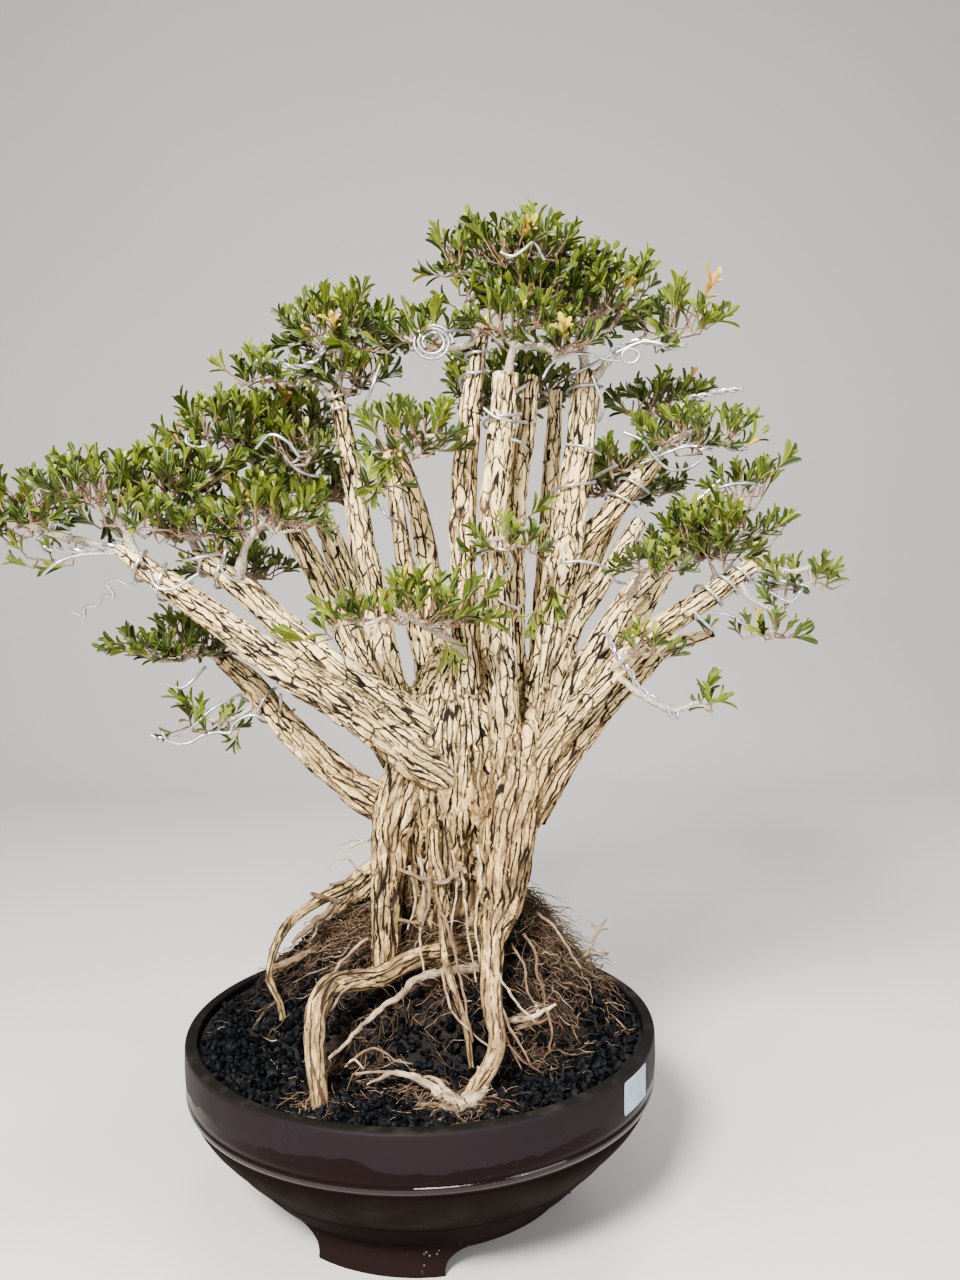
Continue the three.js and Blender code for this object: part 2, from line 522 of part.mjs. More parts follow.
// A notch: an arch with rounded shoulders, run outwards through the foot ring
function notchSolid(angle) {
  const halfWidth = footRadius * Math.sin(THREE.MathUtils.degToRad(notchSpread / 2))
  const flank = halfWidth - notchShoulder
  const spring = notchHeight - notchShoulder
  const arch = new THREE.Shape()
  arch.moveTo(-halfWidth, -5)
  arch.lineTo(halfWidth, -5)
  arch.lineTo(halfWidth, spring)
  arch.absarc(flank, spring, notchShoulder, 0, Math.PI / 2, false)
  arch.absarc(-flank, spring, notchShoulder, Math.PI / 2, Math.PI, false)
  arch.lineTo(-halfWidth, -5)
  const options = { depth: 90, bevelEnabled: false, curveSegments: 4 }
  const cutter = new THREE.ExtrudeGeometry(arch, options)
  cutter.rotateX(Math.PI / 2)
  cutter.translate(0, -60, 0)
  cutter.rotateZ(THREE.MathUtils.degToRad(angle))
  return facingOut(cutter)
}

// The label: a thin bare plate bent round the pot's upper band
function labelSolid() {
  const inner = rimRadius + gap
  const outer = inner + labelThick
  const half = labelWidth / 2 / rimRadius
  const middle = THREE.MathUtils.degToRad(labelAngle - 90)
  const outline = new THREE.Shape()
  outline.absarc(0, 0, outer, middle - half, middle + half, false)
  outline.absarc(0, 0, inner, middle + half, middle - half, true)
  const options = { depth: labelHeight, bevelEnabled: false, curveSegments: 4 }
  const plate = new THREE.ExtrudeGeometry(outline, options)
  plate.translate(0, 0, labelTop - labelHeight)
  return facingOut(plate)
}

// The soil's surface: level at the rim, heaped round the roots, higher on the right
function soilHeight(x, y) {
  const spread = ((x - 5) / 165) ** 2 + ((y - 35) / 128) ** 2
  const heap = moundHeight * Math.max(0, 1 - spread)
  const shoulder = 26 * Math.exp(-(((x - 88) / 34) ** 2) - ((y - 34) / 42) ** 2)
  return soilLevel + heap + shoulder
}

function soilSolid() {
  const random = seeded(41)
  const side = [[0, floorTop + gap], [115.8, floorTop + gap], [145.5, 58.4], [182.4, 106.4], [182.4, 136],
    [lipRadius - 1, soilLevel]]
  const rings = [156, 134, 112, 90, 66, 36, 0]
  const outline = side.concat(rings.map((radius) => [radius, soilLevel]))
  const turned = new THREE.LatheGeometry(outline.map(([r, z]) => new THREE.Vector2(r, z)), potSides)
  turned.rotateX(Math.PI / 2)
  turned.deleteAttribute('normal')
  turned.deleteAttribute('uv')
  const merged = mergeVertices(turned, 1e-3)
  const position = merged.getAttribute('position')
  for (let i = 0; i < position.count; i++) {
    const x = position.getX(i)
    const y = position.getY(i)
    const inside = Math.hypot(x, y) < rings[0] + 1
    if (!inside || position.getZ(i) < soilLevel - 1) continue
    position.setZ(i, soilHeight(x, y) + grainRelief * (random() - 0.5))
  }
  return facingOut(merged)
}

const group = new THREE.Group()

function addPiece(name, solid, look) {
  const mesh = new THREE.Mesh(toGeometry(solid), new THREE.MeshStandardMaterial(look))
  mesh.name = name
  group.add(mesh)
}

const glazeLook = { color: 0x35221f, roughness: 0.22, metalness: 0 }
const paperLook = { color: 0xa9b4bd, roughness: 0.6, metalness: 0 }
const soilLook = { color: 0x23242b, roughness: 0.95, metalness: 0 }
const barkLook = { color: 0xc9b08c, roughness: 0.85, metalness: 0 }
const leafLook = { color: 0x5f8a2a, roughness: 0.45, metalness: 0 }
const wireLook = { color: 0xb4b8bd, roughness: 0.35, metalness: 0.9 }

const wood = mainBody(woodSolid(0))
const grownWood = woodSolid(gap)
for (const [name, run] of Object.entries({ ...trunk, ...stems, ...roots })) {
  noteRun('wood ' + name, run, run.length * 2)
}

addPiece('pot', potSolid(), glazeLook)
addPiece('label', labelSolid(), paperLook)
addPiece('soil', mainBody(soilSolid().subtract(grownWood)), soilLook)
addPiece('wood', wood, barkLook)

const grownWires = []
for (const [name, wire] of Object.entries(wires)) {
  const solid = mainBody(wireSolid(name, wire, 0).subtract(grownWood))
  grownWires.push(wireSolid(name, wire, gap))
  addPiece('wire_' + name, solid, wireLook)
}

const wireSpace = joinAll(grownWires)
let seed = 7
for (const [name, spray] of Object.entries(sprays)) {
  const solid = spraySolid(name, spray, seed).subtract(grownWood).subtract(wireSpace)
  addPiece('spray_' + name, mainBody(solid), leafLook)
  seed += 1
}

export default group
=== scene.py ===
import math

import bpy
import bmesh
import numpy as np
from mathutils import Matrix, Vector, noise


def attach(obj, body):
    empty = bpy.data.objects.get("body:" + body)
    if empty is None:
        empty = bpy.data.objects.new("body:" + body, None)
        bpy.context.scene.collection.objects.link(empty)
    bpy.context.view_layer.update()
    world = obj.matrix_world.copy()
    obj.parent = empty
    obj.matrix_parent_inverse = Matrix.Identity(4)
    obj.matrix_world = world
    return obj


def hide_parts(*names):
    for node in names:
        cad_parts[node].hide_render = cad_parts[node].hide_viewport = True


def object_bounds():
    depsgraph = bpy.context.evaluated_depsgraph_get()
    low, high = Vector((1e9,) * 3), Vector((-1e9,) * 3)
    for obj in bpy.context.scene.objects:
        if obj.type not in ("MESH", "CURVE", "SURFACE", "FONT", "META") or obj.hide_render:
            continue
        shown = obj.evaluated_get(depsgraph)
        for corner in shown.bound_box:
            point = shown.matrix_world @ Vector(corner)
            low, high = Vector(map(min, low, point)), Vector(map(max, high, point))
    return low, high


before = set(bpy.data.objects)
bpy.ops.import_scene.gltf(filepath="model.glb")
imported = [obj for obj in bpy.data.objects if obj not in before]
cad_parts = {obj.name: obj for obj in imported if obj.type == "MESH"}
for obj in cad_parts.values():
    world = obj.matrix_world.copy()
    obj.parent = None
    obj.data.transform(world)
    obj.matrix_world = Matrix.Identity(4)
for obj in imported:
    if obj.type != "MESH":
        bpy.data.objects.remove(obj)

# Boxwood bonsai in its round glazed pot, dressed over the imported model.
# Lists of points are in millimetres, with z up from the table; objects are made in metres.
mm = 0.001
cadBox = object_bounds()
boxLow, boxHigh = np.array(cadBox[0]), np.array(cadBox[1])


# mesh helpers

def newSink():
    return {"verts": [], "faces": [], "slots": [], "coords": [], "count": 0}


# adds one part; its faces are one array, or a list of arrays with their own numbers of corners
def addPart(sink, verts, faces, slot=0, coords=None):
    faceSets = faces if isinstance(faces, list) else [faces]
    for rows in faceSets:
        sink["faces"].append(rows + sink["count"])
        sink["slots"].append(np.full(len(rows), slot, np.int32))
    sink["verts"].append(verts)
    sink["coords"].append(np.zeros_like(verts) if coords is None else coords)
    sink["count"] += len(verts)


def makeObject(name, sink, materials, coordName=None, smooth=True, sharpAngle=None):
    verts = np.concatenate(sink["verts"]).astype(np.float32)
    loops = np.concatenate([rows.ravel() for rows in sink["faces"]]).astype(np.int32)
    sizes = np.concatenate([np.full(len(rows), rows.shape[1]) for rows in sink["faces"]])
    starts = np.concatenate([[0], np.cumsum(sizes)[:-1]]).astype(np.int32)
    mesh = bpy.data.meshes.new(name)
    mesh.vertices.add(len(verts))
    mesh.vertices.foreach_set("co", verts.ravel())
    mesh.loops.add(len(loops))
    mesh.loops.foreach_set("vertex_index", loops)
    mesh.polygons.add(len(sizes))
    mesh.polygons.foreach_set("loop_start", starts)
    mesh.polygons.foreach_set("material_index", np.concatenate(sink["slots"]))
    mesh.update(calc_edges=True)
    mesh.validate()
    mesh.polygons.foreach_set("use_smooth", np.full(len(mesh.polygons), smooth))
    if coordName:
        writeRows(mesh, coordName, np.concatenate(sink["coords"]))
    if sharpAngle:
        mesh.set_sharp_from_angle(angle=math.radians(sharpAngle))
    for material in materials:
        mesh.materials.append(material)
    return putInScene(name, mesh)


def putInScene(name, data):
    made = bpy.data.objects.new(name, data)
    bpy.context.scene.collection.objects.link(made)
    return made


def readRows(mesh, what):
    rows = np.empty(len(mesh.vertices) * 3, np.float32)
    mesh.vertices.foreach_get(what, rows)
    return rows.reshape(-1, 3).astype(float)


# a vector that the mesh carries at each point, for its material to read
def writeRows(mesh, name, rows):
    layer = mesh.attributes.new(name, "FLOAT_VECTOR", "POINT")
    layer.data.foreach_set("vector", rows.astype(np.float32).ravel())


# gives a piece to the imported model: what it rides on and which of its parts it stands for
def handOver(piece, nodes):
    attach(piece, "root")
    if nodes:
        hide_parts(*nodes)
    print(f"{piece.name}: {sum(len(p.vertices) - 2 for p in piece.data.polygons)} triangles", flush=True)


# a centripetal Catmull-Rom curve through [x, y, z, radius] points, in metres, every step metres
def smoothRun(run, step):
    points = np.array(run, float) * mm
    place, radius = points[:, :3], points[:, 3]
    ends = [2 * place[0] - place[1], *place, 2 * place[-1] - place[-2]]
    outPoints, outRadii = [], []
    for i in range(len(place) - 1):
        a, b, c, d = ends[i], ends[i + 1], ends[i + 2], ends[i + 3]
        ab, bc, cd = (max(np.linalg.norm(q - p) ** 0.5, 1e-4) for p, q in ((a, b), (b, c), (c, d)))
        start = ((b - a) / ab - (c - a) / (ab + bc) + (c - b) / bc) * bc
        end = ((c - b) / bc - (d - b) / (bc + cd) + (d - c) / cd) * bc
        count = max(2, int(round(np.linalg.norm(c - b) / step)))
        last = i == len(place) - 2
        t = np.linspace(0, 1, count + 1)[: None if last else -1, None]
        square = -3 * b + 3 * c - 2 * start - end
        outPoints.append((2 * b - 2 * c + start + end) * t**3 + square * t**2 + start * t + b)
        outRadii.append(radius[i] + (radius[i + 1] - radius[i]) * t[:, 0])
    return np.concatenate(outPoints), np.concatenate(outRadii)


# how far each point lies along its line
def travelled(points):
    return np.concatenate([[0], np.cumsum(np.linalg.norm(np.diff(points, axis=0), axis=1))])


# directions along, across and square to a line of points, carried along it without twist
def lineFrames(points):
    along = np.gradient(points, axis=0)
    along /= np.maximum(np.linalg.norm(along, axis=1, keepdims=True), 1e-9)
    first = np.eye(3)[np.argmin(np.abs(along[0]))]
    across = np.empty_like(points)
    for i, direction in enumerate(along):
        first = first - direction * float(first @ direction)
        first = first / max(float(np.linalg.norm(first)), 1e-9)
        across[i] = first
    return along, across, np.cross(along, across)


def tubePart(points, radii, sides):
    _, across, square = lineFrames(points)
    angle = np.arange(sides) * 2 * math.pi / sides
    ring = across[:, None] * np.cos(angle)[None, :, None] + square[:, None] * np.sin(angle)[None, :, None]
    verts = (points[:, None] + ring * np.asarray(radii)[:, None, None]).reshape(-1, 3)
    low = np.arange(len(points) - 1)[:, None] * sides
    one, two = low + np.arange(sides), low + (np.arange(sides) + 1) % sides
    walls = np.stack([one, two, two + sides, one + sides], -1).reshape(-1, 4)
    caps = np.stack([np.arange(sides)[::-1], (len(points) - 1) * sides + np.arange(sides)])
    return verts, [walls, caps]


# material helpers

# links what comes from another node, and sets the rest on the socket itself
def fillSockets(tree, made, sockets):
    for key, value in sockets.items():
        if isinstance(value, bpy.types.NodeSocket):
            tree.links.new(value, made.inputs[key])
        else:
            made.inputs[key].default_value = value


def node(tree, kind, sockets={}, **settings):
    made = tree.nodes.new("ShaderNode" + kind)
    for key, value in settings.items():
        setattr(made, key, value)
    fillSockets(tree, made, sockets)
    return made


# a new material, its nodes, its shader and the object's own coordinates
def newMaterial(name):
    material = bpy.data.materials.new(name)
    material.use_nodes = True
    tree = material.node_tree
    return material, tree, tree.nodes["Principled BSDF"], node(tree, "TexCoord").outputs["Object"]


# a value or three that a mesh carries at its points
def carried(tree, name):
    return node(tree, "Attribute", attribute_name=name).outputs["Vector"]


def parts(tree, vector):
    return node(tree, "SeparateXYZ", {0: vector}).outputs


def noiseAt(tree, place, scale, detail, roughness=0.5):
    sockets = {"Vector": place, "Scale": scale, "Detail": detail, "Roughness": roughness}
    return node(tree, "TexNoise", sockets).outputs[0]


def stretch(tree, vector, scale):
    return node(tree, "Mapping", {"Vector": vector, "Scale": scale}).outputs[0]


# 0 at one value and 1 at the other, or the other way round
def between(tree, value, start, end):
    return node(tree, "MapRange", {"Value": value, "From Min": start, "From Max": end}).outputs[0]


# relief from a height, over relief that is already there
def bump(tree, height, strength, distance, under=None):
    sockets = {"Height": height, "Strength": strength, "Distance": distance}
    return node(tree, "Bump", {**sockets, "Normal": under} if under else sockets).outputs[0]


def ramp(tree, factor, stops):
    made = node(tree, "ValToRGB", {0: factor})
    elements = made.color_ramp.elements
    while len(elements) < len(stops):
        elements.new(0.5)
    for element, (place, value) in zip(elements, stops):
        element.position = place
        element.color = (value, value, value, 1) if isinstance(value, (int, float)) else (*value, 1)
    return made.outputs[0]


def mixColors(tree, factor, first, second, blend="MIX"):
    first, second = ((*value, 1) if isinstance(value, tuple) else value for value in (first, second))
    return node(tree, "Mix", {0: factor, 6: first, 7: second}, data_type="RGBA", blend_type=blend).outputs[2]


def math2(tree, operation, first, second, clamp=False):
    return node(tree, "Math", {0: first, 1: second}, operation=operation, use_clamp=clamp).outputs[0]


def times(tree, first, second):
    return math2(tree, "MULTIPLY", first, second)


# pot

pot = {
    "rounding": 1.7, "segments": 240, "wear": 0.4,
    "notchAngles": (46, 166, 286), "notchHalf": 72.6, "notchHeight": 20, "notchShoulder": 18,
    # radius and height round the wall: lip, band and its bead, two ridges, foot, floor and inside
    "outline": [
        [182.5, 147], [189.5, 147], [191.7, 145.8], [192.5, 143.5], [192.9, 128], [192.5, 113.5],
        [191.3, 110.0], [192.7, 107.6], [192.6, 105.2], [191, 102.6], [188.5, 99.8], [188.3, 98.4],
        [186.4, 93], [181.5, 85.2], [174.5, 76.6], [166.2, 67.4], [162.4, 62.6], [160.8, 60.6],
        [157, 57.8], [156.2, 56.2], [147, 46], [137.5, 35.5], [129.5, 29.2], [124.2, 26.8],
        [122.4, 24], [122, 12], [123.5, 0], [98, 0], [98, 26], [14, 26], [14, 34], [116, 34],
        [146, 58], [183, 106], [183, 140],
    ],
}


# each corner of a closed outline becomes a short arc
def roundCorners(outline, radius, steps=4):
    made = []
    for i, corner in enumerate(outline):
        corner = np.array(corner, float)
        before, after = np.array(outline[i - 1], float), np.array(outline[(i + 1) % len(outline)], float)
        cut = min(radius, 0.4 * np.linalg.norm(before - corner), 0.4 * np.linalg.norm(after - corner))
        first = corner + (before - corner) / np.linalg.norm(before - corner) * cut
        second = corner + (after - corner) / np.linalg.norm(after - corner) * cut
        for t in np.linspace(0, 1, steps):
            made.append((1 - t) ** 2 * first + 2 * t * (1 - t) * corner + t * t * second)
    return np.array(made)


def cutAway(body, cutter):
    change = body.modifiers.new("cut", "BOOLEAN")
    change.operation, change.solver, change.object = "DIFFERENCE", "EXACT", cutter
    bakeModifiers(body)
    bpy.data.objects.remove(cutter)


def bakeModifiers(body):
    graph = bpy.context.evaluated_depsgraph_get()
    mesh = bpy.data.meshes.new_from_object(body.evaluated_get(graph))
    body.modifiers.clear()
    body.data = mesh


def makePot():
    profile = roundCorners(pot["outline"], pot["rounding"])
    segments = pot["segments"]
    angle = np.arange(segments) * 2 * math.pi / segments
    verts = np.stack([
        profile[None, :, 0] * np.cos(angle)[:, None],
        profile[None, :, 0] * np.sin(angle)[:, None],
        np.repeat(profile[None, :, 1], segments, 0),
    ], -1)
    # a fired pot is never quite true: slow waves of a few tenths of a millimetre
    wave = 0.25 * np.sin(3 * angle + 0.6) + 0.15 * np.sin(7 * angle + 2)
    flat = verts[..., :2]
    flat -= (flat / np.maximum(np.linalg.norm(flat, axis=-1, keepdims=True), 1)) * (
        pot["wear"] + wave[:, None, None])
    count = len(profile)
    here, there = np.arange(segments)[:, None] * count, (np.arange(segments)[:, None] + 1) % segments * count
    one, two = np.arange(count)[None], (np.arange(count)[None] + 1) % count
    faces = np.stack([here + one, here + two, there + two, there + one], -1).reshape(-1, 4)
    sink = newSink()
    addPart(sink, verts.reshape(-1, 3) * mm, faces)
    body = makeObject("glazed_pot", sink, [])
    fixNormals(body)
    for turn in pot["notchAngles"]:
        cutAway(body, notchCutter(math.radians(turn)))
    body.data.polygons.foreach_set("use_smooth", np.full(len(body.data.polygons), True))
    edge = body.modifiers.new("edge", "BEVEL")
    edge.width, edge.segments, edge.limit_method, edge.angle_limit = 0.0012, 2, "ANGLE", math.radians(50)
    bakeModifiers(body)
    body.data.set_sharp_from_angle(angle=math.radians(50))
    return body


def fixNormals(body):
    made = bmesh.new()
    made.from_mesh(body.data)
    bmesh.ops.recalc_face_normals(made, faces=made.faces)
    made.to_mesh(body.data)
    made.free()


# an arch with round shoulders, run outwards through the foot ring
def notchCutter(turn):
    half, height, shoulder = pot["notchHalf"], pot["notchHeight"], pot["notchShoulder"]
    outline = [(-half, -6), (half, -6)]
    for side, start in ((1, 0), (-1, math.pi / 2)):
        for step in range(9):
            angle = start + step * math.pi / 16
            outline.append((side * (half - shoulder) + shoulder * math.cos(angle),
                            height - shoulder + shoulder * math.sin(angle)))
    outline = np.array(outline)
    rows = [np.stack([outline[:, 0], np.full(len(outline), -reach), outline[:, 1]], -1)
            for reach in (60, 150)]
    verts = np.concatenate(rows) * mm
    count = len(outline)
    one, two = np.arange(count), (np.arange(count) + 1) % count
    walls = np.stack([one, two, two + count, one + count], -1)
    caps = np.stack([one[::-1], one + count])
    spin = np.array(Matrix.Rotation(turn, 3, "Z"))
    sink = newSink()
    addPart(sink, verts @ spin.T, [walls, caps])
    cutter = makeObject("notch", sink, [])
    fixNormals(cutter)
    return cutter


glaze = {
    # the dry glaze is painted lighter and greyer than the wet: partly its own dull finish, partly a painted
    # sheen
    "drySheen": (0.0170, 0.0122, 0.0150), "wet": (0.0100, 0.0048, 0.0050), "low": (0.0190, 0.0118, 0.0112),
    # the olive tones hold a painted reflection of the pale table as well as the glaze's own colour
    "oliveReflection": (0.0210, 0.0172, 0.0128), "oliveReflectionDeep": (0.0125, 0.0090, 0.0074),
    "lip": (0.0100, 0.0092, 0.0076), "lipPale": (0.026, 0.0230, 0.019), "speck": (0.34, 0.31, 0.27),
    "dryRough": 0.46, "wetRough": 0.20, "oliveRough": 0.38, "beadRough": 0.05, "underRough": 0.62,
    "lipRough": 0.78, "smear": 0.10, "wetEdge": 0.1215, "wetWave": 0.034, "wetSharp": 0.0006,
    # the heights where the three finishes meet, and how much each one mirrors
    "groove": 0.1035, "bead": 0.1090, "shine": {"glaze": 0.09, "glaze_bead": 0.5, "glaze_underside": 0.02},
}


def glazeMaterial(name, shine):
    material, tree, shader, place = newMaterial(name)
    height = parts(tree, place)["Z"]
    level = between(tree, height, 0.0, 0.15)
    mottle = noiseAt(tree, place, 26.0, 5.0, 0.6)
    tall = stretch(tree, place, (1.0, 1.0, 0.25))
    streak = noiseAt(tree, tall, 60.0, 3.0)
    # water has run over the lower part of the pot: its upper edge wanders and is sharp
    drip = noiseAt(tree, tall, 13.0, 3.0, 0.62)
    rise = node(tree, "Math", {0: drip, 1: glaze["wetWave"], 2: height}, operation="MULTIPLY_ADD").outputs[0]
    edge, sharp = glaze["wetEdge"] + glaze["wetWave"] / 2, glaze["wetSharp"]
    wet = between(tree, rise, edge + sharp, edge - sharp)
    # above the wet line the glaze is painted lighter and greyer, partly as a painted sheen
    drySheenTone = mixColors(tree, ramp(tree, streak, [(0.35, 0.0), (0.75, 0.45)]), glaze["drySheen"], glaze["low"])
    ground = mixColors(tree, wet, drySheenTone, glaze["wet"])
    # the sloping band between the ridges is thin glaze; its olive tone is partly the glaze's own colour and
    # partly a painted reflection of the pale table, darker towards both of its edges
    deep = ramp(tree, mottle, [(0.35, 0.0), (0.65, 1.0)])
    oliveReflection = mixColors(tree, deep, glaze["oliveReflection"], glaze["oliveReflectionDeep"])
    thin = ramp(tree, level, [(0.0, 0.0), (0.405, 0.0), (0.425, 1.0), (0.56, 1.0), (0.655, 0.25),
                              (0.67, 0.0)])
    ground = mixColors(tree, thin, ground, oliveReflection)
    foot = ramp(tree, level, [(0.155, 1.0), (0.20, 0.0)])
    ground = mixColors(tree, foot, ground, glaze["low"])
    top = ramp(tree, level, [(0.968, 0.0), (0.976, 1.0)])
    scuff = ramp(tree, streak, [(0.52, 0.0), (0.72, 1.0)])
    ground = mixColors(tree, top, ground, mixColors(tree, scuff, glaze["lip"], glaze["lipPale"]))
    grit = node(tree, "TexVoronoi", {"Vector": place, "Scale": 210.0}).outputs["Distance"]
    cover = noiseAt(tree, place, 15.0, 3.0)
    speck = times(tree, ramp(tree, grit, [(0.10, 1.0), (0.17, 0.0)]),
                  ramp(tree, cover, [(0.53, 0.0), (0.62, 0.8)]))
    low = ramp(tree, level, [(0.14, 1.0), (0.20, 0.10)])
    ground = mixColors(tree, times(tree, speck, low), ground, glaze["speck"])
    bead = ramp(tree, level, [(0.0, 0.0), (0.690, 0.0), (0.700, 1.0), (0.735, 1.0), (0.750, 0.0)])
    under = ramp(tree, level, [(0.672, 1.0), (0.690, 0.0)])
    rough = mixColors(tree, wet, (glaze["dryRough"],) * 3, (glaze["wetRough"],) * 3)
    for share, finish in ((thin, "oliveRough"), (bead, "beadRough"), (under, "underRough"),
                          (top, "lipRough")):
        rough = mixColors(tree, share, rough, (glaze[finish],) * 3)
    smear = times(tree, ramp(tree, mottle, [(0.45, 0.0), (0.75, 1.0)]), glaze["smear"])
    ripple = noiseAt(tree, place, 17.0, 2.0)
    fine = noiseAt(tree, place, 330.0, 2.0)
    relief = bump(tree, fine, 0.10, 0.0005, bump(tree, ripple, 0.35, 0.0025))
    fillSockets(tree, shader, {"Base Color": ground, "Roughness": math2(tree, "ADD", rough, smear),
                               "Specular IOR Level": shine, "Normal": relief})
    return material


glazedPot = makePot()
# the bead at the foot of the wall shines, and the slope under it is dull
for name, shine in glaze["shine"].items():
    glazedPot.data.materials.append(glazeMaterial(name, shine))
for face in glazedPot.data.polygons:
    face.material_index = 2 if face.center.z < glaze["groove"] else int(face.center.z < glaze["bead"])
handOver(glazedPot, ["pot"])


# label, bare

label = {
    "angle": 58.5, "width": 38, "height": 25, "top": 143, "radius": 192.75, "thick": 0.55,
    "corner": 1.2, "curl": 0.25, "stained": (0.26, 0.33, 0.40), "paper": (0.36, 0.43, 0.50),
}


def paperMaterial():
    material, tree, shader, place = newMaterial("label_paper")
    stain = noiseAt(tree, place, 90.0, 4.0)
    fibre = noiseAt(tree, place, 900.0, 2.0)
    tone = ramp(tree, stain, [(0.3, label["stained"]), (0.7, label["paper"])])
    relief = bump(tree, fibre, 0.2, 0.0002)
    fillSockets(tree, shader, {"Base Color": tone, "Roughness": 0.48, "Normal": relief})
    return material


def makeLabel():
    across, up = 28, 12
    half, corner = label["width"] / 2, label["corner"]
    verts = []
    for layer in (0.0, label["thick"]):
        for j in range(up + 1):
            for i in range(across + 1):
                x, y = (i / across * 2 - 1) * half, j / up * label["height"]
                # the corners are trimmed round
                edge = max(0, corner - min(y, label["height"] - y))
                x = max(-half + edge * edge / (2 * corner), min(half - edge * edge / (2 * corner), x))
                turn = math.radians(label["angle"] - 90) + x / label["radius"]
                lift = label["curl"] * max(0, (abs(x) - half + 5) / 5) * (y / label["height"]) ** 3
                reach = label["radius"] + layer + lift
                z = label["top"] - label["height"] + y
                verts.append((reach * math.cos(turn), reach * math.sin(turn), z))
    row, sheetSize = across + 1, (across + 1) * (up + 1)
    faces = []
    for j in range(up):
        for i in range(across):
            a = j * row + i
            faces.append((a, a + row, a + row + 1, a + 1))
            faces.append((a + sheetSize, a + 1 + sheetSize, a + row + 1 + sheetSize, a + row + sheetSize))
    rim = list(range(across)) + [j * row + across for j in range(up)]
    rim += [up * row + i for i in range(across, 0, -1)] + [j * row for j in range(up, 0, -1)]
    for a, b in zip(rim, rim[1:] + rim[:1]):
        faces.append((a, b, b + sheetSize, a + sheetSize))
    sink = newSink()
    addPart(sink, np.array(verts) * mm, np.array(faces))
    piece = makeObject("rim_label", sink, [paperMaterial()], sharpAngle=50)
    fixNormals(piece)
    return piece


handOver(makeLabel(), ["label"])


# soil

soil = {
    "level": 141, "mound": 98, "radius": 181.2, "granules": 4900, "size": (2.0, 4.5),
    "rimGap": 4.5, "nudge": 1.5, "sunk": 1.6, "proud": 1.9, "stoneRough": 0.24,
    "stoneTones": [
        (0.0, (0.0009, 0.0013, 0.0022)), (0.5, (0.0019, 0.0027, 0.0044)), (0.85, (0.0045, 0.0058, 0.0084)),
        (0.97, (0.010, 0.0095, 0.0095)), (1.0, (0.020, 0.0145, 0.0105))],
    "dust": (0.0015, 0.0018, 0.0028),
    "earthTones": [
        (0.3, (0.0030, 0.0028, 0.0035)), (0.6, (0.0085, 0.0070, 0.0070)), (0.75, (0.020, 0.014, 0.011))],
    "feltTones": [
        (0.35, (0.005, 0.0035, 0.0027)), (0.55, (0.017, 0.0110, 0.0078)), (0.72, (0.055, 0.036, 0.024))],
}


def soilHeight(x, y):
    spread = ((x - 5) / 165) ** 2 + ((y - 35) / 128) ** 2
    shoulder = 26 * np.exp(-(((x - 88) / 34) ** 2) - ((y - 34) / 42) ** 2)
    return soil["level"] + soil["mound"] * np.maximum(0, 1 - spread) + shoulder


# where fine roots felt over the soil: centre x, y, half width, half depth, share
matPatches = [
    (112, 30, 54, 62, 1.0), (104, -34, 34, 34, 0.85), (-48, 10, 54, 50, 1.0), (-92, 10, 34, 44, 0.7),
    (22, -30, 52, 42, 1.0), (24, 78, 78, 44, 0.9), (-46, -84, 36, 28, 0.6), (-66, -140, 18, 13, 0.9),
    (32, -143, 34, 14, 1.0), (92, -74, 28, 22, 0.6), (10, -128, 26, 16, 0.8)]


def matShare(x, y):
    share = np.zeros_like(np.asarray(x, float))
    for cx, cy, wide, deep, most in matPatches:
        share = np.maximum(share, most * np.exp(-(((x - cx) / wide) ** 2) - ((y - cy) / deep) ** 2))
    return np.clip(share * 1.25, 0, 1)


def soilMaterial():
    material, tree, shader, place = newMaterial("lava_soil")
    island = node(tree, "NewGeometry").outputs["Random Per Island"]
    tone = ramp(tree, island, soil["stoneTones"])
    pores = node(tree, "TexVoronoi", {"Vector": place, "Scale": 900.0}).outputs["Distance"]
    rough = noiseAt(tree, place, 700.0, 3.0)
    tone = mixColors(tree, ramp(tree, rough, [(0.35, 0.45), (0.7, 0.0)]), tone, soil["dust"])
    relief = bump(tree, rough, 0.5, 0.0006, bump(tree, pores, 0.6, 0.0005))
    fillSockets(tree, shader, {"Base Color": tone, "Roughness": 0.55, "Specular IOR Level": 0.16,
                               "Normal": relief})
    return material


def earthMaterial():
    material, tree, shader, place = newMaterial("earth")
    clod = noiseAt(tree, place, 160.0, 6.0, 0.7)
    tone, felt = ramp(tree, clod, soil["earthTones"]), ramp(tree, clod, soil["feltTones"])
    share = parts(tree, carried(tree, "feltShare"))[0]
    tone = mixColors(tree, ramp(tree, share, [(0.2, 0.0), (0.5, 1.0)]), tone, felt)
    fillSockets(tree, shader, {"Base Color": tone, "Roughness": 0.95, "Normal": bump(tree, clod, 0.9, 0.003)})
    return material


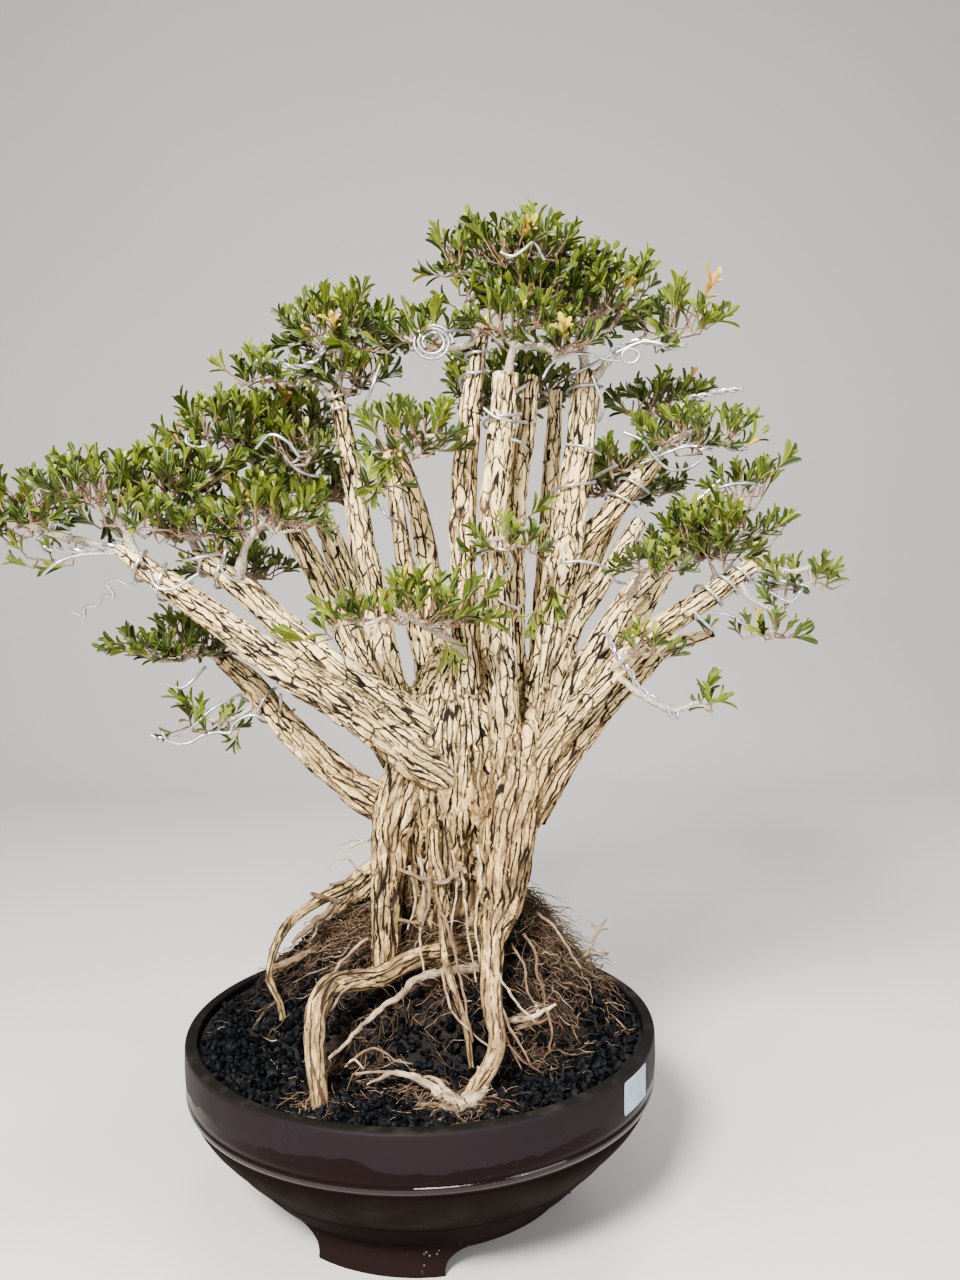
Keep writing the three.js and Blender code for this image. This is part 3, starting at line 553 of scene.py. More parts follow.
# the earth under the granules: a closed body, level at the rim and heaped round the roots
def makeEarth():
    side = [(0, 34.4), (115.6, 34.4), (145.3, 58.4), (182.2, 106.4), (182.2, 136), (181.2, 140.0)]
    rings = [177, 171, 164, 158, 151, 144, 137, 130, 123, 116, *range(108, 11, -8), 5]
    turns = 96
    angle = np.arange(turns) * 2 * math.pi / turns
    rows = [(r, z, False) for r, z in side[1:]] + [(r, 0, True) for r in rings]
    verts = [(0, 0, side[0][1])]
    for r, z, onTop in rows:
        for a in angle:
            x, y = r * math.cos(a), r * math.sin(a)
            lift = 5.0 * noise.noise((x * 0.05, y * 0.05, 3.1)) + 2.4 * noise.noise((x * 0.2, y * 0.2, 7.7))
            verts.append((x, y, soilHeight(x, y) - 2.2 + lift if onTop else z))
    verts.append((0, 0, float(soilHeight(0.0, 0.0)) - 2))
    quads, tris = [], []
    for k in range(len(rows) - 1):
        for i in range(turns):
            a, b = 1 + k * turns + i, 1 + k * turns + (i + 1) % turns
            quads.append((a, b, b + turns, a + turns))
    last = 1 + (len(rows) - 1) * turns
    for i in range(turns):
        tris.append((0, 1 + (i + 1) % turns, 1 + i))
        tris.append((last + i, last + (i + 1) % turns, len(verts) - 1))
    verts = np.array(verts)
    felt = np.stack([matShare(verts[:, 0], verts[:, 1])] * 3, -1)
    sink = newSink()
    addPart(sink, verts * mm, [np.array(quads), np.array(tris)], 0, felt)
    return makeObject("earth", sink, [earthMaterial()], "feltShare")


def stoneShape():
    made = bmesh.new()
    bmesh.ops.create_icosphere(made, subdivisions=1, radius=1)
    verts = np.array([v.co[:] for v in made.verts])
    faces = np.array([[v.index for v in f.verts] for f in made.faces])
    made.free()
    return verts, faces


# random turns, as matrices, so that the stones lie every way
def anyTurn(rng, count):
    q = rng.normal(size=(count, 4))
    w, x, y, z = (q / np.linalg.norm(q, axis=1, keepdims=True)).T
    return np.stack([
        np.stack([1 - 2 * (y * y + z * z), 2 * (x * y - z * w), 2 * (x * z + y * w)], -1),
        np.stack([2 * (x * y + z * w), 1 - 2 * (x * x + z * z), 2 * (y * z - x * w)], -1),
        np.stack([2 * (x * z - y * w), 2 * (y * z + x * w), 1 - 2 * (x * x + y * y)], -1)], 1)


def makeGranules():
    rng = np.random.default_rng(11)
    shape, faces = stoneShape()
    count = soil["granules"]
    # the golden angle spreads them evenly, then each is nudged
    order = np.arange(count) + 0.5
    reach = np.sqrt(order / count) * (soil["radius"] - soil["rimGap"])
    turn = order * math.pi * (3 - math.sqrt(5))
    x = reach * np.cos(turn) + rng.normal(0, soil["nudge"], count)
    y = reach * np.sin(turn) + rng.normal(0, soil["nudge"], count)
    far = np.maximum(np.hypot(x, y) / (soil["radius"] - 4.2), 1)
    x, y = x / far, y / far
    kept = rng.random(count) > (matShare(x, y) - 0.35) * 1.7
    x, y, count = x[kept], y[kept], int(kept.sum())
    low, high = soil["size"]
    size = low + (high - low) * rng.random(count) ** 1.7
    z = soilHeight(x, y) + rng.uniform(-soil["sunk"], soil["proud"], count) + 3.0 * np.array(
        [noise.noise((a * 0.05, b * 0.05, 3.1)) for a, b in zip(x, y)])
    lumps = 1 + rng.uniform(-soil["stoneRough"], soil["stoneRough"], (count, len(shape)))
    uneven = rng.uniform(0.72, 1.2, (count, 1, 3))
    verts = np.einsum("nij,nkj->nki", anyTurn(rng, count), shape[None] * lumps[..., None] * uneven)
    verts = verts * size[:, None, None] + np.stack([x, y, z], -1)[:, None]
    rows = (np.arange(count)[:, None, None] * len(shape) + faces[None]).reshape(-1, 3)
    sink = newSink()
    addPart(sink, verts.reshape(-1, 3) * mm, rows)
    return makeObject("lava_granules", sink, [soilMaterial()], sharpAngle=48)


handOver(makeEarth(), ["soil"])
handOver(makeGranules(), [])


# wood: stems as [x, y, z, radius] from the trunk outwards

stems = {
    "lowLeft": [[0, 0, 318, 20], [-38, -4, 331, 16.4], [-73, 0, 357, 14], [-112, 15, 393, 11.7],
        [-143, 30, 425, 10.2], [-169, 40, 446, 7.7]],
    "longLeft": [[38, -18, 345, 17], [-4, -35, 372, 15.8], [-51, -50, 413, 15.5], [-102, -60, 449, 13.7],
        [-153, -65, 488, 12.1], [-196, -65, 520, 9.1], [-222, -61, 540, 6.1]],
    "upperLeft": [[32, -10, 372, 16], [-11, -25, 405, 15.2], [-62, -35, 443, 13.4], [-101, -40, 477, 11.7],
        [-140, -40, 513, 10.1], [-171, -38, 533, 7]],
    "leanLeft": [[-10, 5, 372, 14], [-39, 15, 419, 12.5], [-61, 20, 469, 11.7], [-86, 30, 520, 10.9],
        [-107, 35, 558, 10.1], [-126, 40, 586, 7.6]],
    "backLean": [[-10, 25, 396, 11], [-37, 30, 452, 10.1], [-59, 45, 511, 9.4], [-83, 60, 567, 8.7],
        [-103, 70, 607, 6.1]],
    "tallLeft": [[-8, -2, 384, 14], [-26, 0, 446, 13.1], [-35, 0, 501, 12.2], [-45, 5, 552, 10.6],
        [-52, 8, 601, 9.4], [-59, 10, 642, 8.2], [-63, 10, 667, 6.5]],
    "backMid": [[12, 36, 392, 10], [0, 50, 458, 9.5], [-11, 60, 519, 8.7], [-20, 70, 580, 7.4],
        [-27, 75, 619, 5.3]],
    "midLeft": [[26, 12, 380, 11], [18, 20, 443, 10], [9, 20, 527, 9.1], [-3, 22, 585, 8.3],
        [-15, 22, 618, 7.4], [-22, 20, 642, 4.9]],
    "centre": [[44, -10, 350, 14], [43, -15, 414, 12.9], [39, -20, 495, 12], [40, -20, 558, 11.1],
        [44, -15, 621, 9.9], [51, -10, 677, 8], [61, -8, 720, 4]],
    "cutTop": [[70, -20, 350, 14], [71, -30, 415, 12.7], [66, -35, 495, 12.5], [64, -35, 557, 12.5],
        [69, -32, 611, 12.1], [75, -30, 671, 10.6]],
    "centreBack": [[78, 0, 360, 12], [80, 5, 427, 9.9], [81, 0, 510, 9.8], [83, 0, 574, 8.9],
        [92, 5, 631, 8.1], [97, 10, 676, 5.7]],
    "shadeBack": [[86, 34, 360, 10], [99, 50, 423, 8.6], [109, 55, 526, 8.2], [116, 60, 612, 7.8],
        [120, 65, 672, 6]],
    "tallRight": [[92, -2, 350, 15], [100, -5, 412, 13.9], [114, -5, 493, 14.6], [126, 0, 559, 13.8],
        [134, 5, 615, 13], [139, 8, 655, 12.2], [141, 10, 679, 9.4]],
    "cutRight": [[108, 4, 455, 11], [118, 10, 501, 10.7], [134, 12, 535, 10.7], [156, 15, 558, 10.3],
        [179, 18, 584, 9.9], [199, 20, 607, 8.6]],
    "innerRight": [[98, -8, 355, 13], [108, -10, 404, 12.2], [118, -10, 445, 11.3], [129, -5, 477, 9.7],
        [151, 5, 506, 8.6], [170, 15, 533, 8.3], [187, 25, 558, 5.8]],
    "longRight": [[98, -18, 352, 12], [115, -25, 396, 11.2], [130, -25, 430, 11.2], [150, -20, 461, 11.2],
        [173, -10, 493, 10.5], [199, 0, 520, 9.8], [221, 10, 549, 8.2], [236, 15, 576, 5.8]],
    "farRight": [[92, -20, 338, 12], [109, -30, 380, 11.1], [143, -40, 423, 11], [176, -45, 459, 10.5],
        [211, -45, 484, 9.7], [243, -40, 504, 8.6], [269, -35, 521, 6.3]],
    "lowRight": [[92, -14, 318, 13], [105, -20, 341, 12.1], [119, -20, 364, 11.3], [151, -15, 404, 9.7],
        [181, -10, 434, 8.9], [202, -5, 453, 7.3], [224, 0, 459, 5.7], [244, 5, 463, 4.1]],
    "rearLeft": [[0, 30, 350, 13], [-22, 55, 405, 11.5], [-50, 85, 465, 10.4], [-78, 112, 525, 9.2],
        [-98, 128, 575, 7]],
    "rearMid": [[45, 40, 350, 13], [54, 62, 420, 11.5], [62, 88, 495, 10.6], [70, 108, 570, 9.4],
        [80, 120, 640, 6.8]],
    "rearRight": [[78, 30, 350, 13], [102, 55, 410, 11.5], [128, 82, 470, 10.2], [156, 106, 528, 9],
        [182, 122, 575, 6.8]],
    "rearLowLeft": [[-5, 28, 330, 14], [-40, 50, 380, 11.8], [-82, 70, 425, 10.2], [-122, 85, 470, 9],
        [-150, 92, 505, 6.6]],
    "rearLowRight": [[80, 20, 330, 14], [120, 45, 385, 11.8], [158, 66, 432, 10], [196, 84, 478, 8.8],
        [222, 94, 512, 6.4]],
}
trunk = {
    "core": [[34, 10, 455, 18], [33, 12, 425, 38], [31, 14, 385, 52], [29, 17, 340, 56], [28, 20, 300, 50],
        [26, 24, 262, 44], [24, 28, 225, 44], [22, 32, 185, 46]],
    "columnLeft": [[8, -8, 385, 18], [-6, -15, 357, 21], [-19, -22, 318, 17], [-25, -28, 271, 14.6],
        [-27, -32, 231, 12.8], [-28, -34, 190, 12]],
    "columnRight": [[84, -8, 395, 20], [83, -15, 356, 24], [74, -22, 317, 24.2], [68, -30, 278, 22.4],
        [66, -38, 252, 18], [59, -55, 230, 11], [57, -75, 209, 8.4], [58, -95, 190, 7.6],
        [61, -115, 172, 7.2], [53, -128, 158, 6.8], [41, -139, 146, 5.9], [31, -143, 126, 5]],
}
roots = {
    "frontLeft": [[46, -12, 214, 10], [26, -28, 213, 9.7], [9, -40, 213, 9.2], [-10, -55, 212, 8.6],
        [-29, -72, 208, 8.4], [-49, -88, 211, 7.9], [-61, -99, 212, 8.5], [-69, -112, 203, 8.8],
        [-71, -125, 182, 8.3], [-69, -133, 163, 7.5], [-66, -139, 145, 6.6], [-64, -142, 130, 6]],
    "archLeft": [[-8, 8, 280, 10], [-40, 6, 271, 8.3], [-61, 10, 255, 6.2], [-83, 12, 244, 5.2],
        [-102, 10, 233, 5.2], [-115, 2, 220, 5], [-122, -10, 204, 4], [-123, -22, 188, 3.6],
        [-112, -34, 172, 3.4], [-106, -44, 130, 3]],
    "hanging": [[16, -22, 322, 6], [13, -36, 300, 4.4], [20, -46, 271, 3.8], [19, -52, 247, 3.6],
        [22, -60, 216, 3.6], [30, -74, 194, 3.6], [38, -84, 172, 3.2], [43, -92, 126, 2.8]],
    "rearLeft": [[-6, 45, 285, 18], [-38, 72, 246, 13], [-68, 92, 214, 10], [-94, 104, 180, 8],
        [-108, 110, 140, 6]],
    "rearMid": [[30, 60, 280, 18], [34, 92, 240, 12], [30, 118, 206, 9], [22, 136, 170, 7],
        [20, 144, 130, 5]],
    "rearRight": [[60, 48, 272, 18], [74, 76, 226, 12.5], [86, 98, 190, 9.5], [96, 112, 156, 7.5],
        [102, 118, 128, 5.5]],
}
sawn = ["cutTop", "tallLeft", "cutRight", "innerRight", "longRight"]  # stems that end in a flat saw cut

bark = {
    "voxel": 1.7, "triangles": 197000, "smoothing": 2,
    "plateWidth": 6.4, "plateLength": 48, "plateDepth": 1.45,
    "fluteWidth": 15, "fluteLength": 120, "fluteDepth": 4.4,
    "crackWidth": 0.30, "plateStep": 0.9, "lumpSize": 30, "lumpHeight": 1.8, "sawnFace": 2.2, "sawnRim": 4,
    "cream": (0.76, 0.575, 0.295), "tan": (0.53, 0.365, 0.17), "amber": (0.58, 0.345, 0.115),
    "pale": (0.87, 0.715, 0.435),
    "root": (0.385, 0.262, 0.145), "fissure": (0.014, 0.009, 0.006), "groove": (0.095, 0.057, 0.030),
    "moss": (0.20, 0.20, 0.085), "shadow": (0.25, 0.165, 0.085), "grain": (0.46, 0.33, 0.19),
    "sawnDark": (0.36, 0.33, 0.32), "sawnPale": (0.50, 0.46, 0.44),
    # how fine the drawn cracks are, across and along a limb, and the heights where the bark changes
    "longCells": (160.0, 160.0, 21.0), "shortCells": (128.0, 128.0, 56.0),
    "trunkZone": (0.45, 0.29), "rootZone": (0.225, 0.175), "mossZone": (0.48, 0.34),
    "blockZone": (0.27, 0.40),
}


# centre lines of every limb, close enough together to find the nearest one to any point
def limbLines():
    rows = []
    for i, (name, run) in enumerate({**trunk, **stems, **{"root" + k: v for k, v in roots.items()}}.items()):
        points, radii = smoothRun(run, 3.5 * mm)
        along, across, square = lineFrames(points)
        travel = travelled(points)
        rows.append({"name": name, "points": points, "radii": radii, "along": along, "across": across,
                     "square": square, "travel": travel, "owner": np.full(len(points), i),
                     "total": np.full(len(points), travel[-1])})
    return rows


# for each point: which limb it lies on, and its place round and along that limb
def limbPlace(limbs, points):
    centre, radius, along, across, square, travel, owner, total = (
        np.concatenate([limb[key] for limb in limbs])
        for key in ("points", "radii", "along", "across", "square", "travel", "owner", "total"))
    nearest = np.empty(len(points), np.int64)
    spare = (centre**2).sum(1)
    for start in range(0, len(points), 8192):
        part = points[start:start + 8192]
        apart = np.sqrt(np.maximum((part**2).sum(1)[:, None] - 2 * part @ centre.T + spare, 0)) - radius
        nearest[start:start + 8192] = apart.argmin(1)
    gap = points - centre[nearest]
    step = (gap * along[nearest]).sum(1)
    side = gap - along[nearest] * step[:, None]
    x, y = (side * across[nearest]).sum(1), (side * square[nearest]).sum(1)
    reach = np.maximum(np.hypot(x, y), 1e-6)
    size = radius[nearest]
    owner, gone = owner[nearest], travel[nearest] + step
    # each limb starts at its own place in the bark's pattern
    coords = np.stack([x / reach * size, y / reach * size, gone + owner * 0.731], -1)
    left = total[nearest] - travel[nearest] - step
    return {"coords": coords, "owner": owner, "radius": size, "left": left, "along": along[nearest]}


# even random numbers from whole-number cells
def cellRandom(cells, salt):
    mixed = salt * 2654435761
    for axis, factor in enumerate((73856093, 19349663, 83492791)):
        mixed = mixed ^ (cells[..., axis] * factor)
    mixed = (mixed ^ (mixed >> 13)) * 1274126177 & 0xFFFFFFFF
    return ((mixed ^ (mixed >> 16)) & 0xFFFFFF) / 16777216.0


# bark plates: how far each point is from the crack round its plate, and the plate's own number
def plates(coords, salt):
    base = np.floor(coords).astype(np.int64)
    first = np.full(len(coords), 9.0)
    second = np.full(len(coords), 9.0)
    number = np.zeros(len(coords))
    for dx in (-1, 0, 1):
        for dy in (-1, 0, 1):
            for dz in (-1, 0, 1):
                cell = base + np.array([dx, dy, dz])
                spot = cell + np.stack([cellRandom(cell, salt + k) for k in range(3)], -1)
                apart = np.linalg.norm(coords - spot, axis=1)
                nearer = apart < first
                second = np.where(nearer, first, np.minimum(second, apart))
                number = np.where(nearer, cellRandom(cell, salt + 9), number)
                first = np.where(nearer, apart, first)
    return second - first, number


def manyNoise(coords):
    return np.array([noise.noise(row) for row in coords.tolist()])


def woodMaterial():
    material, tree, shader, place = newMaterial("bark")
    limb, height = carried(tree, "barkPlace"), parts(tree, place)
    crack = parts(tree, carried(tree, "barkCrackAndFluteShade"))

    def vectors(operation, *inputs, output=0, **more):
        made = node(tree, "VectorMath", {**dict(enumerate(inputs)), **more}, operation=operation)
        return made.outputs[output]

    def voronoi(vector, feature, output):
        return node(tree, "TexVoronoi", {"Vector": vector, "Scale": 1.0}, feature=feature).outputs[output]

    def bend(vector, scale, amount):
        wobble = node(tree, "TexNoise", {"Vector": vector, "Scale": scale, "Detail": 1.0}).outputs["Color"]
        wobble = vectors("SCALE", vectors("SUBTRACT", wobble, (0.5, 0.5, 0.5)), Scale=amount)
        return vectors("ADD", vector, wobble)

    # long cracks follow the limb, and short ones cross it between them
    bent = bend(bend(limb, 38.0, 0.006), 190.0, 0.0022)
    long, short = stretch(tree, bent, bark["longCells"]), stretch(tree, bent, bark["shortCells"])
    outward = vectors("NORMALIZE", stretch(tree, limb, (1.0, 1.0, 0.0)))

    # a crack that would lie flat in the surface is left out, or it would show as a blot
    def crackEdges(vector, cells):
        near, far = voronoi(vector, "F1", "Position"), voronoi(vector, "F2", "Position")
        gap = vectors("NORMALIZE", vectors("MULTIPLY", vectors("SUBTRACT", far, near), cells))
        facing = vectors("DOT_PRODUCT", gap, outward, output="Value")
        blot = ramp(tree, math2(tree, "ABSOLUTE", facing, 0.0), [(0.74, 0.0), (0.91, 0.5)])
        return math2(tree, "ADD", voronoi(vector, "DISTANCE_TO_EDGE", "Distance"), blot)

    longEdge, shortEdge = crackEdges(long, bark["longCells"]), crackEdges(short, bark["shortCells"])
    longTone, shortTone = (parts(tree, voronoi(cells, "F1", "Color"))[0] for cells in (long, short))
    grain = noiseAt(tree, stretch(tree, limb, (1.0, 1.0, 0.14)), 950.0, 4.0, 0.65)
    gate = noiseAt(tree, stretch(tree, limb, (1.0, 1.0, 0.4)), 150.0, 2.0)
    broad, patch = noiseAt(tree, place, 13.0, 3.0), noiseAt(tree, place, 38.0, 4.0, 0.6)
    # the right of the trunk and the roots are more amber
    low = between(tree, height["Z"], *bark["trunkZone"])
    right = between(tree, height["X"], 0.02, 0.09)
    warm = times(tree, low, math2(tree, "ADD", times(tree, right, 0.35), 0.50))
    # surface roots are browner and finer
    rooty = between(tree, height["Z"], *bark["rootZone"])
    mossy = between(tree, height["Z"], *bark["mossZone"])
    layers = [
        (ramp(tree, longTone, [(0.45, 0.0), (0.9, 0.6)]), "pale"),
        (ramp(tree, broad, [(0.46, 0.0), (0.66, 0.6)]), "pale"),
        (times(tree, warm, ramp(tree, patch, [(0.30, 0.3), (0.60, 1.0)])), "amber"),
        (ramp(tree, grain, [(0.32, 0.5), (0.52, 0.0)]), "grain"),
        (times(tree, rooty, ramp(tree, patch, [(0.36, 0.60), (0.60, 1.0)])), "root"),
        # the trunk is rough, with painted shadow in the hollows between its strips, and short dark flecks
        (times(tree, ramp(tree, gate, [(0.45, 0.9), (0.60, 0.0)]), low), "shadow"),
        (times(tree, ramp(tree, grain, [(0.405, 0.85), (0.45, 0.0)]), low), "groove"),
        (times(tree, ramp(tree, patch, [(0.56, 0.0), (0.70, 0.6)]), mossy), "moss"),
        # the shoulders of the cracks: wide ones cut into the mesh, thin ones drawn here; the cut ones' value
        # also darkens the flutes with painted shade
        (ramp(tree, crack["X"], [(0.04, 0.85), (0.30, 0.0)]), "groove"),
        (times(tree, ramp(tree, longEdge, [(0.045, 1.0), (0.125, 0.0)]), 0.85), "groove"),
    ]
    tone = mixColors(tree, ramp(tree, shortTone, [(0.45, 0.0), (0.95, 0.45)]), bark["cream"], bark["tan"])
    for share, name in layers:
        tone = mixColors(tree, share, tone, bark[name])
    # the stems' bark breaks into small blocks, the trunk's and roots' into long strips with wide gaps
    upper = between(tree, height["Z"], *bark["blockZone"])
    thin = times(tree, ramp(tree, longEdge, [(0.065, 1.0), (0.120, 0.0)]),
                 ramp(tree, gate, [(0.38, 0.0), (0.48, 1.0)]))
    wide = times(tree, ramp(tree, longEdge, [(0.09, 1.0), (0.18, 0.0)]),
                 ramp(tree, patch, [(0.42, 0.0), (0.52, 0.9)]))
    thin = math2(tree, "MAXIMUM", thin, times(tree, wide, math2(tree, "SUBTRACT", 1.0, upper)))
    thin = times(tree, thin, math2(tree, "SUBTRACT", 1.0, times(tree, rooty, 0.6)))
    blocky = math2(tree, "MAXIMUM", times(tree, upper, ramp(tree, gate, [(0.34, 0.35), (0.50, 1.0)])),
                   ramp(tree, patch, [(0.50, 0.0), (0.60, 0.8)]))
    cross = times(tree, ramp(tree, shortEdge, [(0.032, 0.95), (0.070, 0.0)]), blocky)
    deep = ramp(tree, crack["X"], [(0.02, 0.8), (0.09, 0.0)])
    deep = math2(tree, "MAXIMUM", deep, math2(tree, "MAXIMUM", thin, cross))
    tone = mixColors(tree, deep, tone, bark["fissure"])
    # sawn ends: grey heartwood with faint rings
    rings = node(tree, "TexWave", {"Vector": limb, "Scale": 120.0, "Distortion": 2.5, "Detail": 2.0},
                 wave_type="RINGS", rings_direction="Z").outputs["Fac"]
    tone = mixColors(tree, crack["Y"], tone, mixColors(tree, rings, bark["sawnDark"], bark["sawnPale"]))
    body = math2(tree, "ADD", times(tree, math2(tree, "MINIMUM", longEdge, 0.15), 6.6),
                 times(tree, math2(tree, "SUBTRACT", 1.0, cross), 0.7))
    rough = ramp(tree, grain, [(0.3, 0.92), (0.7, 0.72)])
    relief = bump(tree, grain, 0.6, 0.0012, bump(tree, body, 1.0, 0.0013))
    fillSockets(tree, shader, {"Base Color": tone, "Roughness": rough, "Specular IOR Level": 0.3,
                               "Normal": relief})
    return material


def makeWood():
    limbs = limbLines()
    sink = newSink()
    for limb in limbs:
        addPart(sink, *tubePart(limb["points"], limb["radii"], 20))
    body = makeObject("tree_wood", sink, [])
    body.modifiers.new("join", "REMESH").voxel_size = bark["voxel"] * mm
    body.modifiers["join"].mode = "VOXEL"
    ease = body.modifiers.new("ease", "SMOOTH")
    ease.factor, ease.iterations = 0.5, bark["smoothing"]
    bakeModifiers(body)
    mesh = body.data
    points, normals = readRows(mesh, "co"), readRows(mesh, "normal")
    place = limbPlace(limbs, points)
    relief, _, _ = barkRelief(limbs, place, normals)
    points += normals * relief[:, None]
    mesh.vertices.foreach_set("co", points.astype(np.float32).ravel())
    mesh.update()
    thin = body.modifiers.new("thin", "DECIMATE")
    faces = sum(len(p.vertices) - 2 for p in mesh.polygons)
    thin.ratio = min(1.0, bark["triangles"] / faces)
    bakeModifiers(body)
    mesh = body.data
    place = limbPlace(limbs, readRows(mesh, "co"))
    _, crack, face = barkRelief(limbs, place, readRows(mesh, "normal"))
    writeRows(mesh, "barkPlace", place["coords"])
    writeRows(mesh, "barkCrackAndFluteShade", np.stack([crack, face, np.zeros(len(crack))], -1))
    mesh.polygons.foreach_set("use_smooth", np.full(len(mesh.polygons), True))
    mesh.materials.append(woodMaterial())
    return body


# how far the bark stands out at each point, how near a crack it is (with the flutes counted in, for their
# painted shade), and whether it is a sawn end
def barkRelief(limbs, place, normals):
    coords, size = place["coords"], place["radius"] / mm
    drift = np.stack([manyNoise(coords * 42 + k * 17.3) for k in range(2)], -1) * 0.0045
    warped = coords.copy()
    warped[:, :2] += drift
    scale = np.clip(size / 12, 0.4, 1.2)
    width, length = bark["plateWidth"] * mm, bark["plateLength"] * mm
    edge, number = plates(warped / np.array([width, width, length]), 3)
    crack = np.clip(edge / bark["crackWidth"], 0, 1)
    fluteSize = np.array([bark["fluteWidth"], bark["fluteWidth"], bark["fluteLength"]]) * mm
    flute = np.exp(-(manyNoise(warped / fluteSize + 3.1) / 0.075) ** 2)
    lumps = manyNoise(coords * bark["lumpSize"] + 5.5)
    relief = (crack**0.7 - 1) * bark["plateDepth"] * scale
    relief += (number - 0.5) * bark["plateStep"] * scale
    relief -= flute * bark["fluteDepth"] * np.clip(size / 20, 0.12, 1.5)
    relief += lumps * bark["lumpHeight"] * np.clip(size / 14, 0.3, 1.4)
    # the flutes count as cracks here, so that the colour paints shade into them
    crack = np.minimum(crack, 1 - 0.9 * flute**2 * np.clip(size / 14, 0, 1))
    names = [limb["name"] for limb in limbs]
    cutLimb = np.isin(place["owner"], [names.index(name) for name in sawn])
    facing = (normals * place["along"]).sum(1)
    face = cutLimb & (place["left"] < bark["sawnFace"] * mm) & (facing > 0.6)
    near = cutLimb & (place["left"] < bark["sawnRim"] * mm)
    relief = np.where(face, 0.0, np.where(near, relief * 0.5, relief))
    return relief * mm, np.where(face, 1.0, crack), face.astype(float)


handOver(makeWood(), ["wood"])
